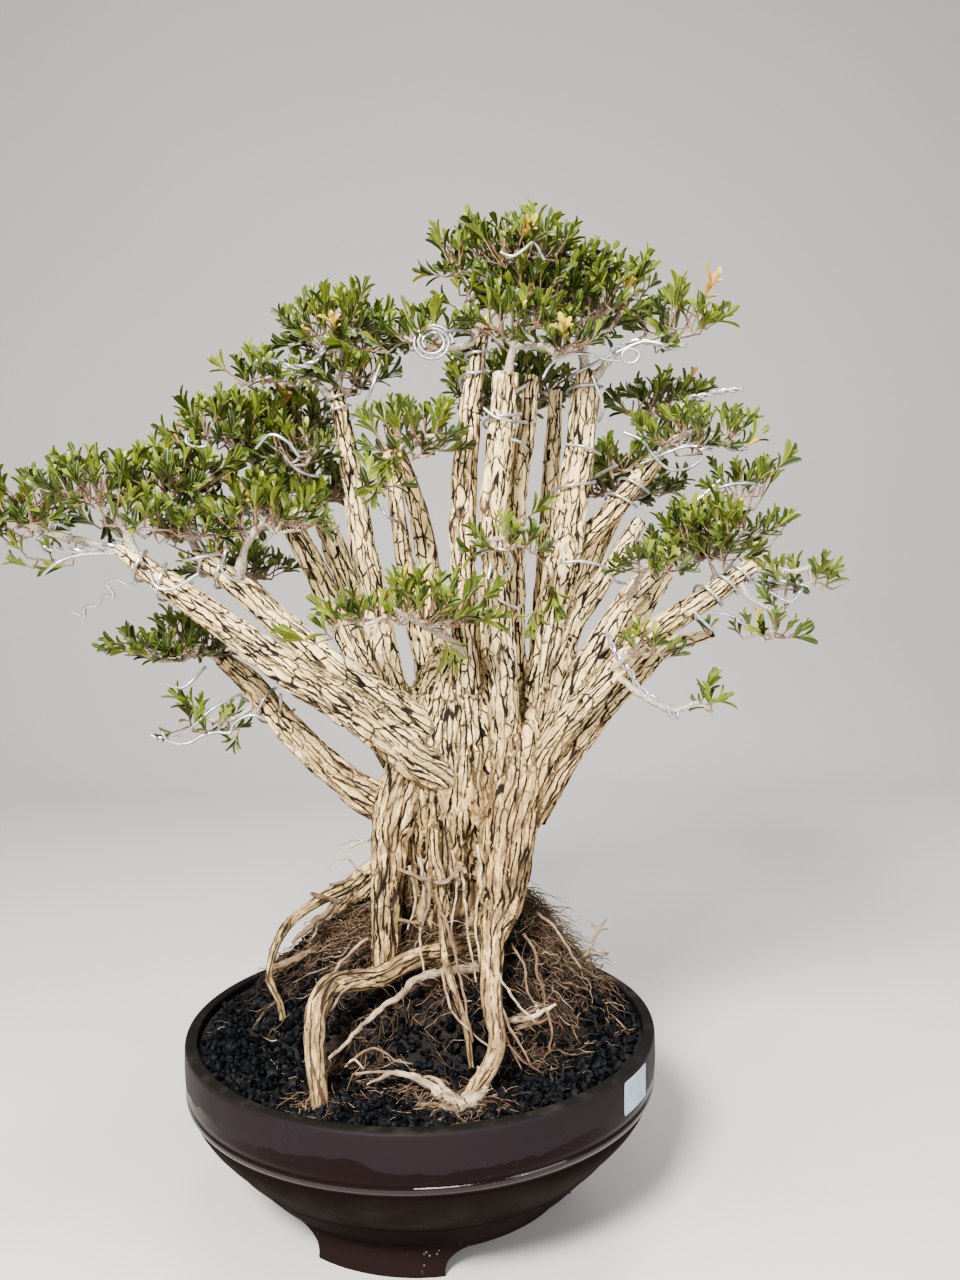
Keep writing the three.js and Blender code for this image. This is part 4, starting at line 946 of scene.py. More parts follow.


# fine roots: listed ones as [x, y, z, radius], then mats of fibre over the mound

fineRoots = [
    [[47, -46, 204, 3.9], [19, -60, 206, 3.4], [2, -73, 207, 2.9], [-10, -87, 201, 2.5],
        [-29, -101, 191, 2.0], [-42, -114, 182, 1.6], [-61, -126, 168, 1.0]],
    [[-84, 12, 204, 2.8], [-101, -3, 199, 3.0], [-121, -18, 196, 2.8]],
    [[-36, -2, 300, 1.8], [-53, -2, 293, 1.3], [-65, -2, 287, 1.0]],
    [[-65, -2, 287, 1.0], [-58, -2, 279, 1.0], [-44, -2, 268, 1.2]],
    [[-76, 4, 258, 1.2], [-65, 4, 260, 1.4], [-48, 4, 263, 1.8]],
    [[-106, -8, 213, 1.4], [-89, -4, 228, 2.8], [-72, 2, 242, 2.4]],
    [[-90, -6, 254, 1.4], [-82, -4, 250, 2.1], [-66, 2, 244, 2.1]],
    # a broken root end, split into strands
    [[64, -58, 166, 1.2], [76, -66, 170, 2.6], [88, -70, 173, 2.4], [99, -70, 179, 1.8],
        [107, -70, 184, 1.0]],
    [[68, -62, 163, 1.4], [80, -69, 166, 2.2], [92, -72, 170, 1.7], [101, -73, 174, 0.9]],
    [[78, -66, 173, 1.6], [88, -68, 178, 1.5], [96, -70, 184, 1.0]],
    [[92, -68, 183, 1.3], [94, -68, 174, 1.8], [84, -66, 162, 1.2]],
    [[100, -74, 180, 1.2], [104, -76, 166, 1.0], [101, -77, 148, 0.7]],
    [[128, 42, 170, 1.8], [138, 42, 180, 1.5], [146, 40, 191, 1.3], [153, 40, 205, 1.1], [159, 40, 215, 0.9]],
    [[144, 40, 189, 1.1], [152, 38, 187, 1.2], [160, 36, 184, 1.8]],
    [[152, 40, 203, 1.0], [145, 41, 212, 1.2]], [[153, 40, 205, 1.0], [160, 38, 206, 0.9]],
    # the right root turns back under itself in a pale knuckle, and a thin root arches left from it
    [[53, -127, 159, 6.4], [46, -135, 149, 7.0], [38, -140, 142, 7.2], [29, -141, 141, 6.2],
        [21, -139, 145, 4.6], [14, -136, 150, 3.5], [6, -133, 155, 2.8], [-4, -130, 158, 2.2],
        [-15, -127, 157, 1.7], [-26, -124, 152, 1.2], [-34, -122, 147, 0.8]],
    [[33, -142, 139, 4.4], [24, -146, 141, 2.6], [14, -146, 144, 1.6], [2, -144, 142, 0.9]],
    [[30, -138, 143, 3.6], [22, -132, 150, 1.9], [12, -126, 154, 1.2], [4, -124, 150, 0.8]],
    [[-42, -124, 156, 0.8], [-21, -124, 157, 1.1], [-6, -124, 155, 0.8]],
    [[-49, -118, 160, 0.8], [-38, -116, 168, 1.1], [-26, -116, 170, 1.0], [-14, -118, 163, 0.9],
        [0, -118, 160, 0.6]],
    [[-50, -117, 158, 1.0], [-44, -118, 164, 0.9], [-36, -119, 157, 0.7]],
    [[11, -57, 282, 2.0], [9, -58, 259, 1.5], [4, -59, 242, 1.1]], [[-14, -58, 248, 1.4], [4, -59, 245, 1.4]],
    [[-14, -44, 284, 1.8], [7, -52, 278, 1.7], [22, -52, 275, 1.5], [37, -48, 289, 1.2]],
    [[15, -52, 267, 1.5], [26, -67, 238, 1.4], [35, -81, 204, 1.2], [43, -96, 166, 0.9]],
    [[20, -70, 210, 1.2], [27, -81, 185, 1.1], [41, -89, 172, 0.9], [57, -96, 160, 0.7]],
    [[62, -92, 200, 1.4], [72, -98, 176, 1.2], [86, -104, 152, 0.8]],
    [[62, -96, 192, 1.2], [68, -103, 171, 1.0], [79, -110, 151, 0.7]],
    [[62, -80, 214, 1.2], [75, -87, 194, 1.0], [90, -90, 178, 0.7]],
    [[62, -106, 182, 1.0], [76, -112, 162, 0.9], [92, -112, 150, 0.6]],
    [[-62, -108, 196, 1.0], [-51, -100, 209, 1.2], [-41, -90, 211, 1.2], [-24, -78, 203, 0.9]],
    [[34, -40, 288, 1.6], [38, -50, 262, 1.2], [40, -62, 236, 1.0], [46, -76, 204, 0.8]],
    [[2, -40, 292, 1.6], [6, -46, 268, 1.3], [2, -56, 236, 1.1], [6, -66, 206, 0.8]],
    [[48, -34, 300, 1.6], [50, -46, 274, 1.3], [46, -58, 244, 1.0], [50, -70, 212, 0.8]],
    [[28, -36, 296, 1.2], [31, -46, 270, 1.0], [27, -60, 240, 0.9], [33, -72, 214, 0.6]],
    [[-6, -42, 286, 1.3], [-1, -50, 262, 1.1], [-7, -58, 240, 0.8]],
    [[-66, 30, 240, 1.8], [-80, 34, 226, 1.5], [-94, 26, 208, 1.2], [-100, 18, 186, 0.8]],
    [[-40, -36, 226, 1.7], [-54, -40, 216, 1.4], [-70, -52, 200, 1.2], [-80, -52, 180, 0.8]],
    [[84, -30, 226, 1.5], [93, -38, 214, 1.3], [94, -42, 200, 1.2], [99, -44, 184, 1.0],
        [100, -48, 168, 0.8]],
    [[74, -40, 222, 1.2], [84, -50, 206, 1.1], [86, -56, 190, 0.9], [94, -60, 176, 0.7]],
    [[96, 6, 232, 1.4], [110, 0, 222, 1.1], [122, -10, 206, 1.0], [132, -12, 190, 0.7]],
    [[60, 118, 214, 2.2], [74, 138, 186, 1.6], [80, 150, 156, 1.0]],
    [[-30, 100, 216, 2.2], [-44, 122, 188, 1.6], [-50, 138, 156, 1.0]],
]
fibre = {
    "count": 2900, "strays": 80, "step": 5.0, "radius": (0.24, 0.58), "sides": 3,
    "dark": (0.022, 0.014, 0.010), "red": (0.088, 0.052, 0.034), "tan": (0.255, 0.178, 0.115),
    "pale": (0.66, 0.55, 0.39), "flake": (0.82, 0.73, 0.57), "grime": (0.13, 0.075, 0.045),
    "grain": (0.035, 0.021, 0.014),
}


def fibreMaterial():
    material, tree, shader, place = newMaterial("root_fibre")
    skin = carried(tree, "fibrePlace")
    own = parts(tree, skin)["Z"]
    tone = ramp(tree, own, [(0.0, fibre["dark"]), (0.35, fibre["red"]), (0.68, fibre["tan"]),
                            (1.0, fibre["pale"])])
    grain = noiseAt(tree, stretch(tree, skin, (1.0, 0.13, 0.0)), 900.0, 4.0, 0.7)
    flake = noiseAt(tree, place, 210.0, 4.0, 0.65)
    grime = noiseAt(tree, place, 85.0, 3.0)
    tone = mixColors(tree, ramp(tree, flake, [(0.50, 0.0), (0.66, 0.6)]), tone, fibre["flake"], "MULTIPLY")
    tone = mixColors(tree, ramp(tree, grime, [(0.42, 0.0), (0.62, 0.6)]), tone, fibre["grime"])
    tone = mixColors(tree, ramp(tree, grain, [(0.36, 0.9), (0.50, 0.0)]), tone, fibre["grain"])
    relief = bump(tree, flake, 0.5, 0.0010, bump(tree, grain, 0.9, 0.0009))
    fillSockets(tree, shader, {"Base Color": tone, "Roughness": 0.85, "Specular IOR Level": 0.3,
                               "Normal": relief})
    return material


# a root's own place for its grain: across it, along it, and how pale it is
def skinPlace(points, radii, sides, tone):
    travel = travelled(points)
    turn = np.arange(sides) * 2 * math.pi / sides
    across = (np.sin(turn) + 0.4 * np.cos(turn))[None] * np.asarray(radii)[:, None] * 1.6
    coords = np.stack(np.broadcast_arrays(across + tone, travel[:, None], tone), -1)
    return coords.reshape(-1, 3)


def makeFineRoots(material):
    rng = np.random.default_rng(5)
    sink = newSink()
    for run in fineRoots:
        points, radii = smoothRun(run, 2.4 * mm)
        # it wavers, and its bark swells and pinches
        travel = np.arange(len(points)) * 0.31 + rng.uniform(0, 50)
        waver = np.array([[noise.noise((t, k * 9.1, 0.5)) for k in range(3)] for t in travel.tolist()])
        hold = np.minimum(1, np.minimum(np.arange(len(points)), np.arange(len(points))[::-1]) / 3)[:, None]
        points += waver * hold * (0.9 * mm + radii[:, None] * 0.35)
        lumps = np.array([noise.noise((t * 1.7, 3.3, 8.8)) for t in travel.tolist()])
        radii = radii * (1 + 0.26 * lumps + rng.uniform(-0.07, 0.07, len(radii)))
        sides = 10 if radii.max() > 2.4 * mm else 6
        verts, faces = tubePart(points, radii, sides)
        out = verts - np.repeat(points, sides, 0)
        ridges = np.array([noise.noise((a * 900, b * 900, c * 160)) for a, b, c in verts.tolist()])
        verts += out * (0.30 * ridges)[:, None]
        tone = rng.uniform(0.55, 0.98) if len(run) < 9 else 0.93  # the knuckle's long root is pale
        addPart(sink, verts, faces, 0, skinPlace(points, radii, sides, tone))
        # side rootlets leave each one
        for _ in range(int(len(points) / 3.6)):
            begin = points[rng.integers(1, len(points))] / mm
            addFibre(sink, rng, begin, rng.uniform(8, 30), rng.uniform(0.4, 0.95), 0.85)
    return makeObject("fine_roots", sink, [material], "fibrePlace")


# a fibre wanders from its start, sinks towards the soil and lies along it
def addFibre(sink, rng, begin, length, tone, thick, curl=0.34):
    count = max(3, int(length / fibre["step"]))
    heading = rng.random() * 2 * math.pi
    bend = rng.normal(0, 0.5 * curl)
    spot = np.array(begin, float)
    points = [spot]
    drop = rng.uniform(0.3, 1.0)
    for _ in range(count):
        heading += bend + rng.normal(0, curl)
        spot = spot + np.array([math.cos(heading), math.sin(heading), 0]) * fibre["step"]
        spot[2] += rng.normal(0, 1.5) - drop * fibre["step"] * 0.5
        ground = float(soilHeight(spot[0], spot[1])) + rng.uniform(0.2, 3.0)
        spot[2] = max(spot[2], ground)
        far = np.hypot(spot[0], spot[1])
        if far > soil["radius"] - 5:
            spot[:2] *= (soil["radius"] - 5) / far
        points.append(spot.copy())
    low, high = fibre["radius"]
    radius = thick * (low + (high - low) * rng.random() ** 1.6) * np.linspace(1, 0.45, len(points)) * mm
    points = np.array(points) * mm
    verts, faces = tubePart(points, radius, fibre["sides"])
    addPart(sink, verts, faces, 0, skinPlace(points, radius, fibre["sides"], tone))


# felts of fibre over the mound, thickest where the share is highest, and strays between the granules
def makeMat(material):
    rng = np.random.default_rng(23)
    sink = newSink()
    made = 0
    while made < fibre["count"]:
        x, y = rng.uniform(-170, 170, 2)
        share = float(matShare(x, y))
        if math.hypot(x, y) > soil["radius"] - 8 or rng.random() > share**1.5:
            continue
        lift = rng.random() ** 1.6 * 11 * share
        begin = (x, y, float(soilHeight(x, y)) + lift)
        tone = min(1, max(0, rng.normal(0.50, 0.17) + 0.018 * (lift - 3)))
        addFibre(sink, rng, begin, rng.uniform(12, 40), tone, 1.1, 0.5)
        made += 1
    for _ in range(fibre["strays"]):
        turn, reach = rng.random() * 2 * math.pi, math.sqrt(rng.random()) * (soil["radius"] - 10)
        x, y = reach * math.cos(turn), reach * math.sin(turn)
        begin = (x, y, float(soilHeight(x, y)) + rng.uniform(1, 5))
        addFibre(sink, rng, begin, rng.uniform(8, 30), rng.uniform(0.55, 1.0), 0.9)
    return makeObject("root_mat", sink, [material], "fibrePlace")


rootLook = fibreMaterial()
handOver(makeFineRoots(rootLook), [])
handOver(makeMat(rootLook), [])


# foliage: each spray's pad (centre and half sizes) and the branch that carries it, as [x, y, z, radius]

sprays = {
    "farLeftTip": {"pads": [[-288, -62, 571, 26, 34, 32], [-286, -62, 590, 22, 22, 20],
        [-300, -60, 560, 10, 12, 12]], "bare": 0.3, "full": 0.8, "branch": [[-214, -62, 534, 3.6],
        [-238, -62, 541, 3], [-280, -62, 553, 2.4], [-314, -60, 568, 1.5]]},
    "farLeft": {"pads": [[-236, -66, 591, 34, 44, 28], [-200, -66, 566, 42, 30, 22],
        [-232, -60, 604, 30, 34, 20]], "bare": 0.28, "full": 0.8, "branch": [[-206, -64, 528, 4],
        [-218, -68, 559, 3], [-244, -68, 574, 1.6]]},
    "leftTop": {"pads": [[-183, -42, 598, 35, 46, 28], [-166, -44, 606, 32, 32, 22],
        [-160, -60, 560, 34, 26, 18]], "bare": 0.2, "branch": [[-165, -38, 529, 4], [-179, -42, 564, 3],
        [-193, -45, 580, 1.6]]},
    "leftInner": {"pads": [[-117, -66, 566, 32, 34, 24], [-104, -64, 568, 42, 26, 24]],
        "bare": 0.22, "full": 0.8, "branch": [[-136, -42, 509, 4], [-122, -62, 543, 3],
        [-102, -66, 562, 1.6]]},
    "leftCrown": {"pads": [[-150, 12, 641, 44, 50, 34], [-118, -4, 582, 44, 34, 24],
        [-96, -12, 626, 26, 28, 30]], "full": 0.9, "branch": [[-122, 39, 580, 4], [-135, 27, 612, 3],
        [-158, 15, 629, 1.6]]},
    "leftCrownBack": {"pads": [[-104, 62, 652, 34, 44, 34]], "branch": [[-101, 69, 602, 4],
        [-104, 60, 628, 3], [-114, 60, 644, 1.6]]},
    "leftPeak": {"pads": [[-60, 6, 719, 42, 50, 32], [-47, -2, 682, 24, 26, 26]],
        "full": 0.9, "branch": [[-62, 10, 660, 4], [-59, 8, 689, 3], [-54, 5, 709, 1.6]]},
    "leftPeakLow": {"pads": [[-114, -2, 684, 30, 30, 16]], "branch": [[-61, 10, 652, 3.4], [-84, 6, 676, 2.8],
        [-120, -2, 680, 1.6]]},
    "midLeftTop": {"pads": [[8, -10, 712, 28, 36, 26], [14, -14, 716, 24, 22, 20]],
        "full": 0.62, "bare": 0.2, "branch": [[56, -9, 700, 3.6], [35, -12, 694, 2.8], [11, -12, 696, 2.4],
        [-6, -10, 704, 1.5]]},
    "topSprig": {"pads": [[36, -12, 767, 15, 22, 30], [41, -14, 738, 13, 15, 26]],
        "full": 0.9, "branch": [[60, -8, 716, 3], [49, -10, 736, 2.4], [38, -11, 758, 1.5]]},
    "crown": {"pads": [[86, 0, 776, 50, 60, 30], [97, -8, 744, 44, 44, 26], [140, 4, 760, 20, 30, 26]],
        "full": 0.92, "branch": [[61, -7, 718, 3.4], [75, -2, 738, 2.8], [88, 0, 757, 1.6]]},
    "crownFront": {"pads": [[79, -44, 716, 38, 26, 24], [118, -44, 700, 32, 24, 24]],
        "full": 0.95, "branch": [[76, -31, 669, 4], [80, -40, 689, 3], [86, -46, 704, 1.6]]},
    "rightPeak": {"pads": [[146, 10, 736, 42, 50, 36], [172, 4, 752, 22, 30, 24]],
        "full": 0.7, "branch": [[141, 10, 676, 4.4], [138, 8, 703, 3.2], [146, 6, 723, 1.7]]},
    "rightPeakTip": {"pads": [[210, -4, 722, 34, 36, 24], [224, 0, 742, 16, 16, 14]],
        "full": 0.48, "bare": 0.25, "branch": [[140, 8, 664, 3.6], [168, 0, 694, 2.8], [206, -4, 706, 1.6]]},
    "midFront": {"pads": [[4, -48, 628, 36, 30, 30], [-24, -46, 596, 17, 18, 24]],
        "branch": [[-13, 20, 616, 4], [-6, -14, 620, 3], [6, -44, 622, 1.7]]},
    "frontShelf": {"pads": [[-8, -84, 495, 54, 24, 18], [18, -78, 500, 42, 22, 28],
        [-44, -80, 496, 24, 18, 14]], "full": 0.9, "branch": [[42, -16, 446, 3.6], [30, -46, 464, 3],
        [6, -70, 480, 2.6], [-12, -84, 490, 1.6]]},
    "frontRight": {"pads": [[72, -76, 546, 30, 20, 18]], "branch": [[46, -24, 540, 3], [51, -52, 540, 2.4],
        [72, -76, 542, 1.6]]},
    "rightHigh": {"pads": [[230, 14, 634, 48, 44, 28], [173, 26, 618, 22, 24, 20]],
        "full": 0.6, "branch": [[196, 20, 603, 4], [211, 18, 622, 3], [238, 16, 632, 1.6]]},
    "rightHighBack": {"pads": [[206, 72, 668, 34, 34, 24], [216, 62, 680, 36, 26, 14]],
        "full": 0.75, "branch": [[191, 22, 598, 3.6], [200, 48, 634, 2.8], [208, 68, 656, 1.6]]},
    "rightMid": {"pads": [[247, -16, 556, 46, 40, 24], [268, 2, 594, 32, 22, 16],
        [240, -20, 538, 36, 26, 20]], "full": 0.72, "branch": [[226, 12, 558, 4], [243, 0, 553, 3],
        [252, -17, 550, 1.6]]},
    "rightMidLeft": {"pads": [[186, -50, 530, 26, 24, 20], [232, -40, 478, 9, 12, 14]],
        "full": 0.8, "branch": [[171, -11, 491, 3.4], [178, -36, 512, 2.6], [188, -50, 525, 1.6]]},
    "rightTip": {"pads": [[305, -36, 517, 32, 26, 16], [287, -38, 502, 16, 16, 14]],
        "full": 0.7, "branch": [[264, -36, 518, 3.6], [291, -37, 514, 2.8], [323, -36, 520, 1.5]]},
    "rightLow": {"pads": [[274, -44, 482, 26, 22, 12]], "branch": [[252, -39, 510, 2.8], [262, -43, 494, 2.2],
        [276, -45, 486, 1.5]]},
    "rightBelow": {"pads": [[178, -68, 466, 22, 18, 18]], "branch": [[150, -42, 430, 3], [160, -58, 448, 2.4],
        [174, -68, 462, 1.6]]},
    "rightSprig": {"pads": [[229, -50, 424, 11, 12, 12]], "branch": [[156, -42, 439, 3], [164, -56, 430, 2.6],
        [180, -56, 418, 2.4], [200, -52, 408, 2.2], [220, -50, 414, 1.5]]},
    "lowLeftPad": {"pads": [[-204, 40, 464, 50, 40, 24], [-200, 32, 480, 20, 20, 16]],
        "branch": [[-162, 37, 440, 4], [-184, 39, 452, 3], [-210, 40, 460, 1.6]]},
    "lowLeftSprig": {"pads": [[-181, 22, 402, 30, 20, 18]], "branch": [[-139, 28, 421, 3.2],
        [-143, 24, 404, 2.6], [-166, 22, 394, 2.2], [-188, 22, 399, 1.5]]},
    "rearLeftPad": {"pads": [[-106, 142, 606, 52, 44, 30]], "branch": [[-95, 126, 568, 4.4],
        [-100, 134, 586, 3.4], [-112, 140, 598, 1.7]]},
    "rearMidPad": {"pads": [[82, 112, 690, 56, 46, 34]], "branch": [[79, 119, 634, 4.4], [80, 117, 660, 3.4],
        [84, 114, 680, 1.7]]},
    "rearRightPad": {"pads": [[192, 138, 604, 48, 42, 28]], "branch": [[178, 120, 568, 4.4],
        [184, 130, 586, 3.4], [194, 136, 598, 1.7]]},
    "rearLowLeftPad": {"pads": [[-166, 104, 530, 42, 36, 22]], "branch": [[-146, 91, 499, 4.2],
        [-152, 96, 512, 3.2], [-168, 104, 522, 1.6]]},
    "rearLowRightPad": {"pads": [[236, 106, 540, 42, 36, 22]], "branch": [[218, 93, 506, 4.2],
        [224, 98, 520, 3.2], [238, 106, 532, 1.6]]},
}
# single shoots beyond the pads: where the leaves begin, which way they point, pairs of leaves, leaf size
shoots = {
    "farLeftTip": [([-306, -60, 545], [-0.7, -0.1, 0.7], 3, 1), ([-290, -64, 533], [-0.6, 0, 0.8], 3, 1.1),
        ([-272, -60, 530], [-0.1, -0.3, 0.9], 2, 1), ([-310, -62, 572], [-0.5, 0, 0.8], 3, 1.1),
        ([-288, -58, 524], [-0.9, 0, 0.3], 3, 0.9), ([-256, -66, 526], [-0.8, -0.4, -0.2], 2, 1.2)],
    "leftPeakLow": [([-146, 0, 678], [-0.8, 0, 0.6], 3, 1)],
    "midLeftTop": [([-40, -24, 692], [-0.9, -0.3, 0.3], 3, 1.35), ([-18, -22, 690], [-0.7, -0.4, 0.5],
        2, 1.3)],
    "crown": [([96, -10, 786], [0, 0, 1], 2, 1)],
    "topSprig": [([30, -14, 772], [-0.5, 0, 0.8], 3, 1)],
    "rightPeakTip": [([208, -4, 722], [0.2, 0, 1], 4, 1.1), ([224, -6, 704], [0.8, 0, 0.6], 4, 1.1),
        ([196, -8, 690], [0.6, -0.2, 0.4], 2, 1)],
    "midFront": [([-10, -52, 608], [-0.3, -0.5, -0.5], 4, 1.15), ([-22, -50, 590], [-0.3, -0.4, -0.7],
        3, 1.1)],
    "frontShelf": [([-72, -88, 466], [-0.8, -0.3, 0.35], 2, 1.6), ([-58, -88, 470], [-0.4, -0.5, 0.5],
        2, 1.3), ([48, -82, 480], [0.9, -0.2, 0.1], 3, 1.2), ([26, -90, 470], [0.4, -0.5, -0.7], 3, 1.25)],
    "frontRight": [([106, -60, 512], [0.1, -0.5, -0.8], 4, 1.2), ([96, -62, 494], [-0.1, -0.4, -0.9], 4, 1.1),
        ([88, -84, 556], [0.6, -0.3, 0.6], 3, 1.1)],
    "rightMid": [([286, -18, 592], [0.7, 0, 0.7], 3, 1.2), ([292, -26, 548], [0.5, 0, 0.8], 2, 0.9)],
    "rightHigh": [([264, -8, 612], [0.7, 0, 0.6], 3, 1.1)],
    "rightTip": [([312, -36, 512], [0.8, 0, 0.15], 4, 1)],
    "rightSprig": [([222, -50, 413], [0.4, -0.2, 0.9], 3, 1.25), ([226, -52, 412], [0.9, 0, 0.3], 3, 1.1)],
    "lowLeftPad": [([-246, 38, 452], [-0.95, 0, 0.1], 4, 1.1), ([-222, 30, 446], [-0.7, -0.4, 0.4], 3, 1.2)],
    "lowLeftSprig": [([-186, 20, 404], [-0.7, -0.2, 0.6], 4, 1.1), ([-152, 22, 386], [-0.3, 0, -0.9], 3, 1)],
    "rightBelow": [([176, -70, 462], [-0.4, -0.3, 0.7], 3, 1)],
}
foliage = {
    "spacing": 15.6, "leafLength": (12.5, 19.5), "leafWidth": 0.300, "twigTip": 0.62, "bare": 0.15,
    # angles between a leaf and its shoot, the shoot's length for each pair of leaves, and the draws
    # above which a whole shoot or one leaf is ageing
    "spread": 0.40, "lastSpread": 0.26, "pairGap": 3.9, "agedShoot": 0.992, "agedLeaf": 0.994,
    # how high a shoot rises from its twig, and what a twig pays for each millimetre back to the branch
    "rise": (8, 24), "wayBack": 0.26,
    "shade": (0.011, 0.024, 0.005), "leaf": (0.050, 0.084, 0.011), "lit": (0.180, 0.220, 0.024),
    "yellow": (0.55, 0.40, 0.05), "orange": (0.66, 0.30, 0.13),
    "rib": (0.40, 0.43, 0.14), "margin": (0.42, 0.40, 0.12), "foot": (0.33, 0.29, 0.10),
    "twig": (0.25, 0.135, 0.078), "twigGrey": (0.50, 0.44, 0.35), "twigDark": (0.085, 0.062, 0.045),
}


def leafMaterial():
    material, tree, shader, place = newMaterial("leaf")
    # leafPlace: along a leaf, across it, and its tone of painted light from shade to sun, over 1 for an
    # ageing leaf
    leaf = parts(tree, carried(tree, "leafPlace"))
    along, across, own = leaf["X"], leaf["Y"], leaf["Z"]
    tone = ramp(tree, times(tree, own, 0.5), [
        (0.0, foliage["shade"]), (0.20, foliage["leaf"]), (0.44, foliage["lit"]), (0.55, foliage["lit"]),
        (0.70, foliage["yellow"]), (0.95, foliage["orange"])])
    blotch = noiseAt(tree, place, 260.0, 3.0)
    tone = mixColors(tree, ramp(tree, blotch, [(0.50, 0.0), (0.80, 0.4)]), tone, foliage["shade"])
    aside = math2(tree, "ABSOLUTE", across, 0.0)
    rib = ramp(tree, aside, [(0.02, 0.55), (0.13, 0.0)])
    tone = mixColors(tree, rib, tone, foliage["rib"])
    tone = mixColors(tree, ramp(tree, aside, [(0.84, 0.0), (0.99, 0.45)]), tone, foliage["margin"])
    tone = mixColors(tree, ramp(tree, along, [(0.0, 0.8), (0.14, 0.0)]), tone, foliage["foot"])
    # nine veins leave the rib at a slant
    veins = math2(tree, "ADD", times(tree, along, 9.0), times(tree, aside, -1.6))
    veins = math2(tree, "SINE", times(tree, veins, 6.2832), 0.0)
    surface = math2(tree, "SUBTRACT", times(tree, veins, 0.12), rib)
    rough, relief = ramp(tree, blotch, [(0.3, 0.30), (0.7, 0.46)]), bump(tree, surface, 0.35, 0.0003)
    fillSockets(tree, shader, {"Base Color": tone, "Roughness": rough, "Specular IOR Level": 0.5,
                               "Normal": relief})
    return material


# young twigs are red-brown, old ones grey and cracked; leafPlace holds the age in its third value
def twigMaterial():
    material, tree, shader, place = newMaterial("twig")
    age = parts(tree, carried(tree, "leafPlace"))["Z"]
    patch = noiseAt(tree, place, 90.0, 4.0)
    rings = noiseAt(tree, place, 800.0, 3.0)
    old = math2(tree, "ADD", age, times(tree, math2(tree, "SUBTRACT", patch, 0.5), 1.6), True)
    tone = mixColors(tree, old, foliage["twig"], foliage["twigGrey"])
    tone = mixColors(tree, ramp(tree, rings, [(0.38, 0.75), (0.54, 0.0)]), tone, foliage["twigDark"])
    relief = bump(tree, rings, 0.8, 0.0007)
    fillSockets(tree, shader, {"Base Color": tone, "Roughness": 0.8, "Normal": relief})
    return material


# one leaf, from its foot at 0 to its tip at 1: a thin closed blade, widest past its middle, folded
# along its rib; here are the places along it and how wide it is there
leafStations = [(0.12, 0.27), (0.43, 0.75), (0.74, 1.0), (0.94, 0.70)]


def leafShape():
    verts, coords = [(0, 0, 0)], [(0, 0, 0)]
    for s, wide in leafStations:
        fold, arch = 0.09 * wide, 0.10 * s * (1.1 - s)
        for across, lift in ((-1, fold), (0, 0.022), (1, fold), (0, -0.022)):
            verts.append((s, across * wide * 0.5, lift + arch * 1.6 - 0.14 * s * s))
            coords.append((s, across, 0))
    verts.append((1, 0, -0.14 + 0.02))
    coords.append((1, 0, 0))
    tris, quads = [], []
    for k in range(4):
        a, b = 1 + k, 1 + (k + 1) % 4
        tris.append((0, b, a))
        for station in range(len(leafStations) - 1):
            low = station * 4
            quads.append((a + low, b + low, b + low + 4, a + low + 4))
        low = (len(leafStations) - 1) * 4
        tris.append((a + low, b + low, len(verts) - 1))
    return np.array(verts), np.array(coords, float), np.array(tris), np.array(quads)


def unit(vector):
    return vector / max(float(np.linalg.norm(vector)), 1e-9)


# where the leafy shoots of a spray begin, which way they point and how much light they get
def padTips(spray, rng):
    space, squash = foliage["spacing"], np.array([1, 1, 0.7])
    tips = []
    for zone in spray["pads"]:
        centre, half = np.array(zone[:3], float), np.array(zone[3:], float)
        # shoots enough to fill the pad's ball, one to each cube of the spacing
        want = int(spray.get("full", 1.0) * 4.19 * half[0] * half[1] * (half[2] + 3) / space**3) + 2
        made = 0
        for _ in range(want * 30):
            if made >= want:
                break
            reach, turn = math.sqrt(rng.random()), rng.random() * 2 * math.pi
            top = half[2] * math.sqrt(1 - 0.6 * reach * reach) - 25
            low = min(-half[2] * (0.95 - 0.35 * reach), top - 3)
            level = rng.random() ** 0.92
            spot = centre + np.array([reach * math.cos(turn) * (half[0] - 6),
                                      reach * math.sin(turn) * (half[1] - 6), low + (top - low) * level])
            if all(np.linalg.norm((spot - other[0]) * squash) > space * 0.55 for other in tips):
                outward = np.array([math.cos(turn), math.sin(turn), 0]) * reach * (1.25 - 0.9 * level)
                way = unit(np.array([0, 0, 0.25 + 0.8 * level]) + outward + rng.normal(0, 0.26, 3))
                tips.append((spot, way, 0.2 + 0.8 * level, rng.uniform(0.85, 1.12), None))
                made += 1
    return tips


# upper parts of stems that reach into a spray: twigs may leave from them as well as from the branch
def stemAnchors(spray):
    anchors = []
    for run in stems.values():
        points, _ = smoothRun(run, 6 * mm)
        upper = points[int(len(points) * 0.66):] / mm
        for zone in spray["pads"]:
            gap = np.abs(upper - np.array(zone[:3])) - np.array(zone[3:])
            anchors += list(upper[(gap.max(1) < 14) & (upper[:, 2] < zone[2] + 8)])
    return anchors


